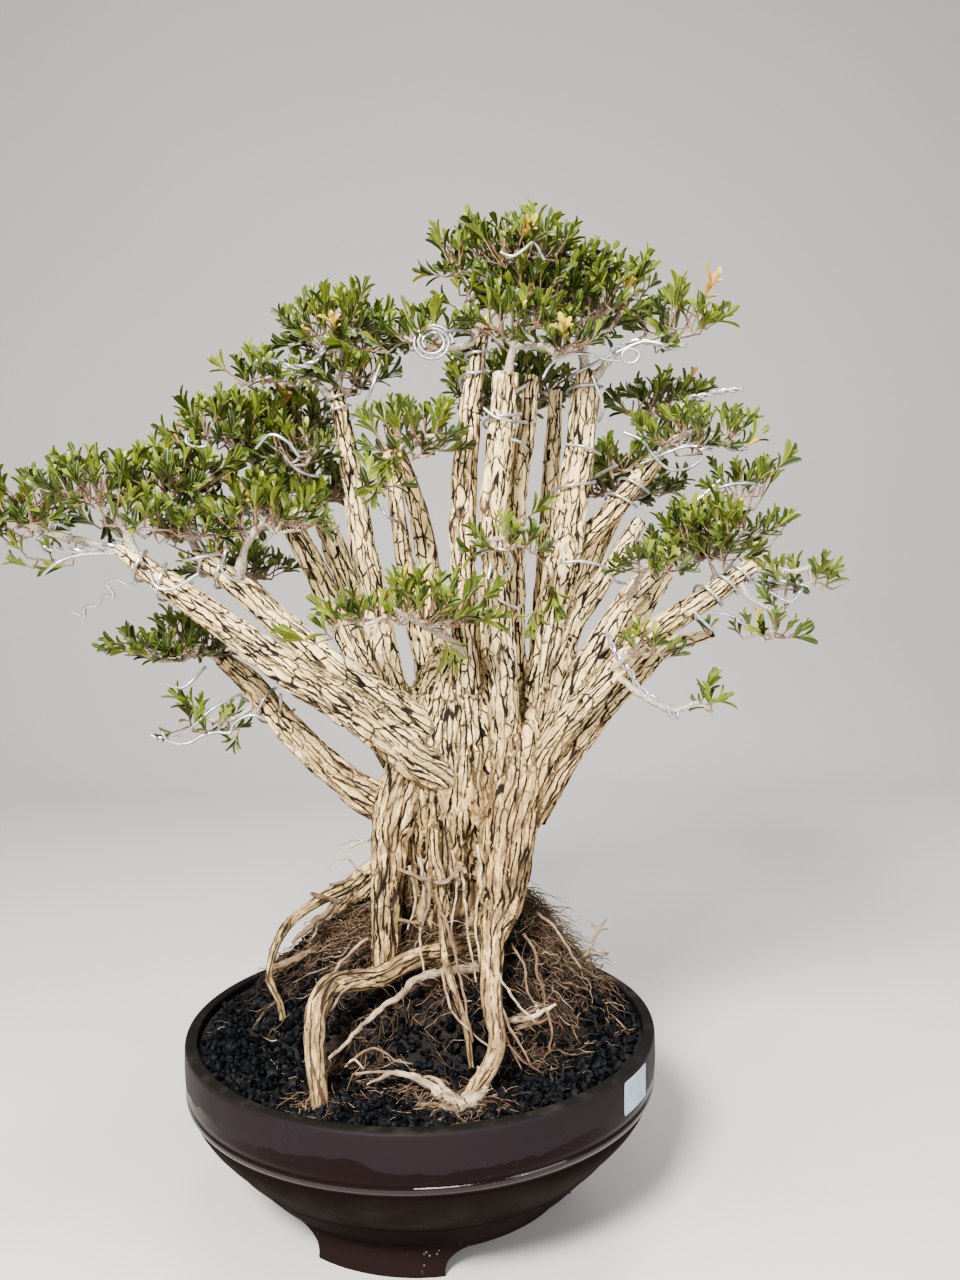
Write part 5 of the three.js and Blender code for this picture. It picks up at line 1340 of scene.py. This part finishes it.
# joins the tips to the branch by the shortest wood, each twig turning up into its shoot
def growTwigs(spray, tips, rng):
    line, radii = smoothRun(spray["branch"], 5 * mm)
    line, radii = line / mm, radii / mm
    start = len(line) * 2 // 5
    places = list(line[start:])
    parents = [max(i - 1, 0) for i in range(len(places))]
    travel = [i * 3.0 for i in range(len(places))]
    lineEnd = len(places)
    for spot in stemAnchors(spray):
        places.append(spot)
        parents.append(len(places) - 1)
        travel.append(26.0)
    fixed = len(places)
    joinable = list(range(fixed))
    order = sorted(range(len(tips)), key=lambda i: min(np.linalg.norm(tips[i][0] - p) for p in places))
    ends = {}

    def grow(last, spot, bend, steps, wander):
        first, far = places[last], float(np.linalg.norm(spot - places[last]))
        for step in range(1, steps + 1):
            t = step / steps
            here = (1 - t) ** 2 * first + 2 * t * (1 - t) * bend + t * t * spot
            places.append(here + rng.normal(0, wander, 3) * (step < steps))
            parents.append(last)
            travel.append(travel[last] + far / steps)
            last = len(places) - 1
        return last

    for i in order:
        spot, way = tips[i][0], tips[i][1]
        rise = 4.0 if tips[i][4] else rng.uniform(*foliage["rise"])
        nearest = min(places[:fixed], key=lambda p: np.linalg.norm(spot - p))
        rise = min(rise, max(1.5, spot[2] - nearest[2] + 1))
        foot = spot - unit(way * 0.9 + np.array([0, 0, 0.1])) * rise
        known = np.array(joinable)
        gaps = foot - np.array([places[k] for k in joinable])
        apart = np.maximum(np.linalg.norm(gaps, axis=1), 1e-6)
        back = foliage["wayBack"] * np.array([travel[k] for k in joinable])
        cost = apart * (1.25 - 0.35 * gaps[:, 2] / apart) + back
        pick = int(cost.argmin())
        sag = 0.05 if gaps[pick][2] > 0 else -0.10
        bend = places[known[pick]] + gaps[pick] * 0.55 - np.array([0, 0, sag]) * apart[pick]
        bend = bend + rng.normal(0, 0.06, 3) * apart[pick]
        before = len(places)
        last = grow(int(known[pick]), foot, bend, max(1, int(apart[pick] / 6.5)), 0.75)
        joinable += range(before, len(places))
        bend = foot + (spot - foot) * 0.5 + rng.normal(0, 0.9, 3)
        ends[i] = grow(last, spot, bend, 2, 0.3)
    load = np.zeros(len(places))
    for last in ends.values():
        walk = last
        while parents[walk] != walk:
            load[walk] += 1
            walk = parents[walk]
    thick = foliage["twigTip"] * np.maximum(load, 1) ** 0.44 + 0.06
    radii[start:] = np.maximum(radii[start:], thick[:lineEnd] * 0.9)
    radii[:start] = np.maximum(radii[:start], radii[start])
    return np.array(places), parents, thick, ends, line, radii


# a tube of twig whose age follows its thickness
def twigTube(sink, points, radius, sides):
    verts, faces = tubePart(points * mm, radius * mm, sides)
    coords = np.zeros_like(verts)
    coords[:, 2] = np.clip((np.repeat(radius, sides) - 0.62) / 0.9, 0, 1)
    addPart(sink, verts, faces, 1, coords)


def makeSpray(name, spray, seed, materials):
    rng = np.random.default_rng(seed)
    tips = padTips(spray, rng)
    padCount = len(tips)
    for spot, way, pairs, size in shoots.get(name, []):
        tips.append((np.array(spot, float), unit(np.array(way, float)), 0.95, size, pairs))
    places, parents, thick, ends, line, radii = growTwigs(spray, tips, rng)
    sink = newSink()
    lumps = 1 + 0.14 * rng.normal(0, 1, len(radii))
    twigTube(sink, line + rng.normal(0, 0.35, line.shape), radii * np.clip(lumps, 0.8, 1.3), 9)
    blades = {"foot": [], "rib": [], "face": [], "size": [], "tone": [], "width": []}
    drawn = set()
    for i, (spot, way, level, size, pairs) in enumerate(tips):
        chain = [ends[i]]
        while parents[chain[-1]] != chain[-1] and chain[-1] not in drawn:
            drawn.add(chain[-1])
            chain.append(parents[chain[-1]])
        chain = chain[::-1]
        bare = i < padCount and rng.random() < spray.get("bare", foliage["bare"])
        pairs = pairs or (0 if bare else int(rng.integers(2, 5)))
        reach = 3.5 + foliage["pairGap"] * pairs * size
        lean = rng.normal(0, 0.10, 3)
        stalk = [places[ends[i]] + (way * t + lean * t * t) * reach for t in (0.5, 1.0)]
        points = np.array([places[k] for k in chain] + stalk)
        widest = thick[chain[1]] if len(chain) > 1 else 9
        radius = np.concatenate([[min(thick[k], widest) for k in chain],
                                 np.array([0.92, 0.6]) * foliage["twigTip"] * (1.35 if bare else 1.0)])
        twigTube(sink, points, radius, 5 if widest > 1.1 else 4)
        spin = rng.random() * math.pi
        side = unit(np.cross(way, [0.31, 0.87, 0.11]))
        other = np.cross(way, side)
        old = rng.random() > foliage["agedShoot"]
        for pair in range(pairs):
            t = (pair + 0.6) / (pairs + 0.1)
            foot = places[ends[i]] + (way * t + lean * t * t) * reach
            last = pair == pairs - 1
            for half in (0, 1):
                turn = spin + pair * math.pi / 2 + half * math.pi + rng.normal(0, 0.2)
                out = side * math.cos(turn) + other * math.sin(turn)
                wide = foliage["lastSpread"] if last else foliage["spread"] + 0.22 * (1 - t)
                spread = wide + rng.normal(0, 0.11)
                rib = unit(way * math.cos(spread) + out * math.sin(spread) + np.array([0, 0, 0.1]))
                low, high = foliage["leafLength"]
                share = 0.74 if last else 1.0 - 0.12 * (t > 0.7)
                length = (low + (high - low) * rng.random()) * size * share
                # painted light: leaves high in a pad take the lit colour, low ones the shaded one
                tone = min(max(0.02 + 0.66 * level + rng.normal(0, 0.22), 0.0), 1.05)
                if old or rng.random() > foliage["agedLeaf"]:
                    tone = 1.2 + 0.6 * rng.random()
                blades["foot"].append(foot)
                blades["rib"].append(rib)
                blades["face"].append(unit(way * math.sin(spread) - out * math.cos(spread)))
                blades["size"].append(length)
                blades["width"].append(length * foliage["leafWidth"] * rng.uniform(0.85, 1.25))
                blades["tone"].append(tone)
    addLeaves(sink, blades)
    print(f"{name}: {len(tips)} shoots, {len(blades['size'])} leaves", flush=True)
    return makeObject(f"spray_{name}_leaves", sink, materials, "leafPlace", sharpAngle=70)


def addLeaves(sink, blades):
    shape, coords, tris, quads = leafShape()
    foot, rib, face = np.array(blades["foot"]), np.array(blades["rib"]), np.array(blades["face"])
    size, width, tone = np.array(blades["size"]), np.array(blades["width"]), np.array(blades["tone"])
    side = np.cross(face, rib)
    side /= np.maximum(np.linalg.norm(side, axis=1, keepdims=True), 1e-9)
    face = np.cross(rib, side)
    verts = foot[:, None] + rib[:, None] * (shape[None, :, 0:1] * size[:, None, None])
    verts += side[:, None] * (shape[None, :, 1:2] * width[:, None, None])
    verts += face[:, None] * (shape[None, :, 2:3] * size[:, None, None])
    verts *= mm
    inside = ((verts.min(1) > boxLow + 0.0003) & (verts.max(1) < boxHigh - 0.0003)).all(1)
    verts, tone = verts[inside], tone[inside]
    places = np.repeat(coords[None], len(verts), 0)
    places[..., 2] = tone[:, None]
    count = np.arange(len(verts))[:, None, None] * len(shape)
    faces = [(count + tris[None]).reshape(-1, 3), (count + quads[None]).reshape(-1, 4)]
    addPart(sink, verts.reshape(-1, 3), faces, 0, places.reshape(-1, 3))


leafLooks = [leafMaterial(), twigMaterial()]
for seed, (name, spray) in enumerate(sprays.items(), 100):
    handOver(makeSpray(name, spray, seed, leafLooks), ["spray_" + name])


# training wires: the stem each is wound on, where its turns start and end, its tail, and more curls of it

wires = {
    "farLeft": {"on": "longLeft", "from": 0.74, "to": 0.9, "turns": 2, "tail": [[-247, -72, 533],
        [-262, -78, 527], [-276, -74, 517]], "curls": [[[-194, -76, 521], [-187, -82, 509], [-176, -82, 507],
        [-158, -74, 518]], [[-167, -78, 528], [-155, -84, 530], [-142, -72, 533]], [[-205, -70, 513],
        [-211, -67, 510], [-223, -63, 514], [-231, -60, 512], [-227, -57, 502], [-236, -53, 502],
        [-243, -50, 495], [-253, -47, 493], [-255, -43, 486], [-265, -40, 489]], [[-276, -60, 536],
        [-279, -68, 545], [-272, -62, 552], [-266, -66, 557], [-258, -58, 553]]],
        "twists": [[[-216, -66, 542], [-240, -66, 538], [-262, -66, 537], [-279, -64, 541]]]},
    "upperLeft": {"on": "upperLeft", "from": 0.8, "to": 0.97, "turns": 2, "tail": [[-166, -52, 556],
        [-150, -62, 550]], "curls": [[[-138, -60, 541], [-140, -64, 532], [-143, -62, 521], [-135, -58, 513],
        [-124, -54, 511]], [[-167, -60, 624], [-166, -64, 616], [-159, -60, 613], [-152, -56, 615]],
        [[-116, -56, 612], [-104, -60, 622], [-92, -60, 617], [-84, -54, 606]], [[-128, -50, 566],
        [-112, -60, 560], [-104, -66, 548], [-112, -58, 540]]]},
    "lowLeft": {"on": "lowLeft", "from": 0.62, "to": 0.78, "turns": 1.5, "tail": [[-170, 8, 406],
        [-186, 4, 392], [-204, 8, 382], [-222, 10, 384]], "curls": [[[-210, 0, 389], [-207, 1, 382],
        [-197, 2, 378], [-188, 4, 379], [-179, 5, 384], [-166, 6, 387], [-156, 7, 386], [-154, 8, 392],
        [-144, 9, 399], [-134, 10, 400], [-127, 12, 396], [-116, 13, 401], [-113, 6, 418]], [[-209, 12, 427],
        [-195, 8, 424], [-185, 10, 431], [-178, 20, 440]], [[-226, 24, 449], [-218, 18, 453],
        [-205, 24, 448]]]},
    "tallLeft": {"on": "tallLeft", "from": 0.84, "to": 0.97, "turns": 2, "tail": [[-82, -4, 684],
        [-98, -8, 692]], "curls": [[[-130, -10, 667], [-121, -14, 670], [-108, -8, 675]], [[-101, -14, 668],
        [-98, -16, 674], [-88, -10, 675]], [[-25, -12, 681], [-30, -16, 666], [-37, -12, 652],
        [-50, -6, 640]], [[-112, -20, 619], [-104, -24, 613], [-92, -22, 600], [-82, -16, 595],
        [-66, -8, 594]]], "twists": [[[-122, -18, 685], [-112, -22, 684], [-98, -22, 680], [-86, -22, 679],
        [-76, -22, 683], [-69, -24, 690], [-64, -24, 698], [-54, -24, 705], [-42, -24, 706],
        [-32, -20, 699]]], "rings": [[-117, -22, 683, 3.4, 3.4, 1]]},
    "centre": {"on": "centre", "from": 0.78, "to": 0.93, "turns": 2.5, "tail": [[36, -30, 704],
        [22, -38, 700]], "curls": [[[61, -46, 522], [59, -50, 507], [68, -48, 495], [82, -44, 488]],
        [[65, -52, 535], [75, -54, 531], [77, -52, 521], [69, -46, 511]], [[-26, -10, 569], [-22, -14, 563],
        [-12, -2, 557]]], "rings": [[18, -32, 694, 16, 7, 2.6]]},
    "cutTop": {"on": "cutTop", "from": 0.84, "to": 0.92, "turns": 1.25, "tail": [[92, -46, 660]],
        "curls": [[[57, -44, 642], [65, -48, 635], [76, -48, 632], [90, -36, 632]], [[77, -48, 618],
        [84, -46, 616], [91, -34, 611]], [[71, -50, 757], [80, -54, 753], [88, -52, 758], [96, -50, 764],
        [104, -46, 752]]]},
    "tallRight": {"on": "tallRight", "from": 0.84, "to": 0.96, "turns": 1.5, "tail": [[166, -14, 690],
        [184, -18, 696], [202, -22, 692]], "curls": [[[104, -24, 668], [110, -24, 678], [123, -24, 685],
        [139, -24, 686], [152, -22, 682], [164, -20, 681]], [[161, -8, 720], [162, -10, 730], [170, -8, 735],
        [181, -8, 731], [192, -8, 733], [199, -4, 729]], [[144, -12, 671], [146, -14, 663], [151, -12, 652],
        [152, -8, 642], [149, -2, 636]]], "twists": [[[158, -14, 690], [176, -12, 697], [195, -10, 696],
        [205, -10, 692], [219, -10, 695]]], "rings": [[173, -18, 685, 6.5, 6.5, 1.1]]},
    "waist": {"on": "tallRight", "from": 0.52, "to": 0.6, "turns": 1, "tail": [[162, -16, 600]],
        "curls": [[[123, -14, 617], [138, -20, 614], [150, -12, 609]]]},
    "cutRight": {"on": "cutRight", "from": 0.66, "to": 0.9, "turns": 2.5, "tail": [[222, 0, 616],
        [240, -8, 612]], "curls": [[[171, 4, 628], [185, 0, 621], [193, 0, 610], [207, 2, 598], [224, 6, 599],
        [232, 4, 604]], [[230, -8, 612], [246, -10, 617], [254, -10, 612], [269, -6, 613]]],
        "twists": [[[216, 12, 650], [226, 10, 656], [238, 10, 658], [254, 10, 661], [269, 10, 663]]]},
    "longRight": {"on": "longRight", "from": 0.74, "to": 0.92, "turns": 2.5, "tail": [[250, 2, 590]],
        "curls": [[[114, -36, 523], [132, -40, 524], [148, -38, 520], [157, -36, 509], [168, -26, 506]],
        [[240, -6, 536], [253, -14, 542], [268, -14, 532], [279, -10, 529]], [[240, -6, 580], [254, -12, 584],
        [269, -10, 585], [281, -6, 583]]]},
    "farRight": {"on": "farRight", "from": 0.72, "to": 0.94, "turns": 3, "tail": [[292, -48, 506],
        [306, -50, 503]], "curls": [[[265, -46, 506], [280, -44, 497], [293, -44, 491], [303, -42, 501]],
        [[228, -54, 484], [245, -52, 481], [256, -50, 474], [268, -48, 470]], [[216, -54, 485],
        [224, -56, 476], [234, -52, 468]], [[196, -54, 411], [199, -56, 404], [204, -54, 403],
        [203, -52, 410], [197, -52, 412]]], "twists": [[[150, -48, 470], [158, -54, 450], [168, -56, 438],
        [172, -57, 429], [188, -55, 416], [197, -54, 409]]]},
}
wireLook = {"radius": 1.3, "bright": (0.62, 0.635, 0.65), "dull": (0.30, 0.315, 0.33), "twistPitch": 17.0}


def wireMaterial():
    material, tree, shader, place = newMaterial("wire")
    dull = noiseAt(tree, place, 120.0, 4.0)
    tone = mixColors(tree, ramp(tree, dull, [(0.4, 0.0), (0.68, 1.0)]), wireLook["bright"], wireLook["dull"])
    fillSockets(tree, shader, {
        "Base Color": tone, "Metallic": 0.85, "Roughness": ramp(tree, dull, [(0.35, 0.26), (0.7, 0.48)]),
        "Normal": bump(tree, dull, 0.25, 0.0005)})
    return material


def plainRun(points):
    return [[*point, 1] for point in points]


# the turns of a wire round its stem, then its tail
def woundLine(wire):
    points, radii = smoothRun(stems[wire["on"]], 3 * mm)
    # places along a stem count its own points evenly, as in the solids
    run = np.array(stems[wire["on"]], float)
    gaps = np.linalg.norm(np.diff(run[:, :3], axis=0), axis=1)
    knots = np.cumsum([0] + [max(2, int(round(gap / 3))) for gap in gaps]) / (len(points) - 1)
    travel = np.interp(np.linspace(0, 1, len(points)), knots, np.linspace(0, 1, len(run)))
    along, _, _ = lineFrames(points)
    each = 18  # steps in one turn
    count = int(wire["turns"] * each)
    line = []
    for i in range(count + 1):
        t = wire["from"] + (wire["to"] - wire["from"]) * i / count
        centre = np.array([np.interp(t, travel, points[:, k]) for k in range(3)])
        way = unit(np.array([np.interp(t, travel, along[:, k]) for k in range(3)]))
        front = unit(np.array([0, -1.0, 0]) + way * way[1])
        other = np.cross(way, front)
        angle = i / each * 2 * math.pi + 2.2
        reach = float(np.interp(t, travel, radii)) * 1.06 + (wireLook["radius"] + 0.9) * mm
        line.append(centre + (front * math.cos(angle) + other * math.sin(angle)) * reach)
    return np.array(line)


def makeWire(name, wire, material):
    sink = newSink()
    turns = woundLine(wire)
    tail, _ = smoothRun(plainRun([turns[-2] / mm, turns[-1] / mm] + wire["tail"]), 3 * mm)
    line = np.concatenate([turns[:-1], tail[2:]])
    for points in [line] + [smoothRun(plainRun(curl), 2.5 * mm)[0] for curl in wire.get("curls", [])]:
        addPart(sink, *tubePart(points, np.full(len(points), wireLook["radius"] * mm), 8))
    for twist in wire.get("twists", []):
        points, _ = smoothRun(plainRun(twist), 1.2 * mm)
        _, across, square = lineFrames(points)
        travel = travelled(points) / mm
        for start in (0, math.pi):
            angle = (travel / wireLook["twistPitch"] * 2 * math.pi + start)[:, None]
            strand = across * np.cos(angle) + square * np.sin(angle)
            strand = points + strand * wireLook["radius"] * 1.05 * mm
            addPart(sink, *tubePart(strand, np.full(len(points), wireLook["radius"] * 0.92 * mm), 7))
    for x, y, z, outer, inner, count in wire.get("rings", []):
        angle = np.linspace(0, count * 2 * math.pi, int(count * 22))
        reach = np.linspace(outer, inner, len(angle)) * mm
        forward = np.linspace(0, 2.0 * count, len(angle)) * mm
        points = np.array([x, y, z]) * mm + np.stack([
            reach * np.cos(angle), 0.12 * reach * np.sin(angle * 0.5) - forward,
            reach * np.sin(angle) * 0.9], -1)
        addPart(sink, *tubePart(points, np.full(len(points), wireLook["radius"] * mm), 8))
    return makeObject(f"wire_{name}_coil", sink, [material], sharpAngle=50)


wireMetal = wireMaterial()
for name, wire in wires.items():
    handOver(makeWire(name, wire, wireMetal), ["wire_" + name])


# floor, light and camera

studio = {
    "floor": (0.62, 0.60, 0.575), "world": (0.80, 0.84, 0.90), "worldStrength": 0.36,
    "camera": (52, -897, 521), "pitch": 3.82, "roll": -0.69, "focal": 36 * 1100 / 1280,
}


def makeFloor():
    made = bmesh.new()
    # a sheet that runs back and curves up behind
    rows = [(-3.0, 0.0), (1.6, 0.0)]
    rows += [(1.6 + 0.9 * math.sin(a), 0.9 - 0.9 * math.cos(a)) for a in np.linspace(0.1, math.pi / 2, 14)]
    rows += [(2.5, 3.6)]
    lines = [[made.verts.new((x, y, z)) for x in (-4.5, 4.5)] for y, z in rows]
    for low, high in zip(lines, lines[1:]):
        made.faces.new((low[0], low[1], high[1], high[0]))
    mesh = bpy.data.meshes.new("floor")
    made.to_mesh(mesh)
    made.free()
    mesh.polygons.foreach_set("use_smooth", np.full(len(mesh.polygons), True))
    floor = putInScene("floor", mesh)
    material, tree, shader, place = newMaterial("backdrop")
    tone = noiseAt(tree, place, 1.5, 2.0)
    tone = mixColors(tree, tone, studio["floor"], tuple(0.95 * c for c in studio["floor"]))
    fillSockets(tree, shader, {"Base Color": tone, "Roughness": 0.9})
    mesh.materials.append(material)


# area lights: where each stands, what it points at, its size, watts and colour
lights = {
    "key": ((-0.55, -1.55, 1.60), (0, 0, 0.46), (0.50, 0.40), 118, (1.0, 0.97, 0.92)),
    "fill": ((1.6, -1.2, 0.9), (0, 0, 0.35), (0.9, 1.2), 12, (0.92, 0.96, 1.0)),
    "top": ((0.1, -0.2, 2.2), (0, 0, 0.4), (0.9, 0.4), 22, (1.0, 0.98, 0.95)),
    "strip": ((0.75, -1.70, 0.90), (0.08, -0.15, 0.11), (1.7, 0.10), 14, (1, 1, 1)),
    "back": ((0.7, 1.7, 1.6), (0, 0, 0.5), (0.8, 0.8), 12, (0.92, 0.96, 1.0)),
}


def makeLights():
    for name, (spot, aim, size, power, color) in lights.items():
        lamp = bpy.data.lights.new(name, "AREA")
        lamp.shape, lamp.size, lamp.size_y, lamp.energy, lamp.color = "RECTANGLE", *size, power, color
        made = putInScene(name, lamp)
        made.location = spot
        made.rotation_euler = (Vector(aim) - Vector(spot)).to_track_quat("-Z", "Y").to_euler()
    world = bpy.data.worlds.new("studio")
    world.use_nodes = True
    back = world.node_tree.nodes["Background"]
    back.inputs["Color"].default_value = (*studio["world"], 1)
    back.inputs["Strength"].default_value = studio["worldStrength"]
    bpy.context.scene.world = world


def makeCamera():
    pitch, roll = math.radians(studio["pitch"]), math.radians(studio["roll"])
    ahead = Vector((0, math.cos(pitch), -math.sin(pitch)))
    right, up = Vector((1, 0, 0)), Vector((0, math.sin(pitch), math.cos(pitch)))
    tiltedRight = right * math.cos(roll) + up * math.sin(roll)
    tiltedUp = up * math.cos(roll) - right * math.sin(roll)
    lens = bpy.data.cameras.new("camera")
    lens.lens, lens.sensor_width, lens.clip_start = studio["focal"], 36, 0.02
    camera = putInScene("camera", lens)
    turn = Matrix((tiltedRight, tiltedUp, -ahead)).transposed().to_4x4()
    camera.matrix_world = Matrix.Translation(Vector(studio["camera"]) * mm) @ turn
    bpy.context.scene.camera = camera


makeFloor()
makeLights()
makeCamera()
scene = bpy.context.scene
scene.view_settings.view_transform = "AgX"
scene.view_settings.look = "AgX - Medium High Contrast"
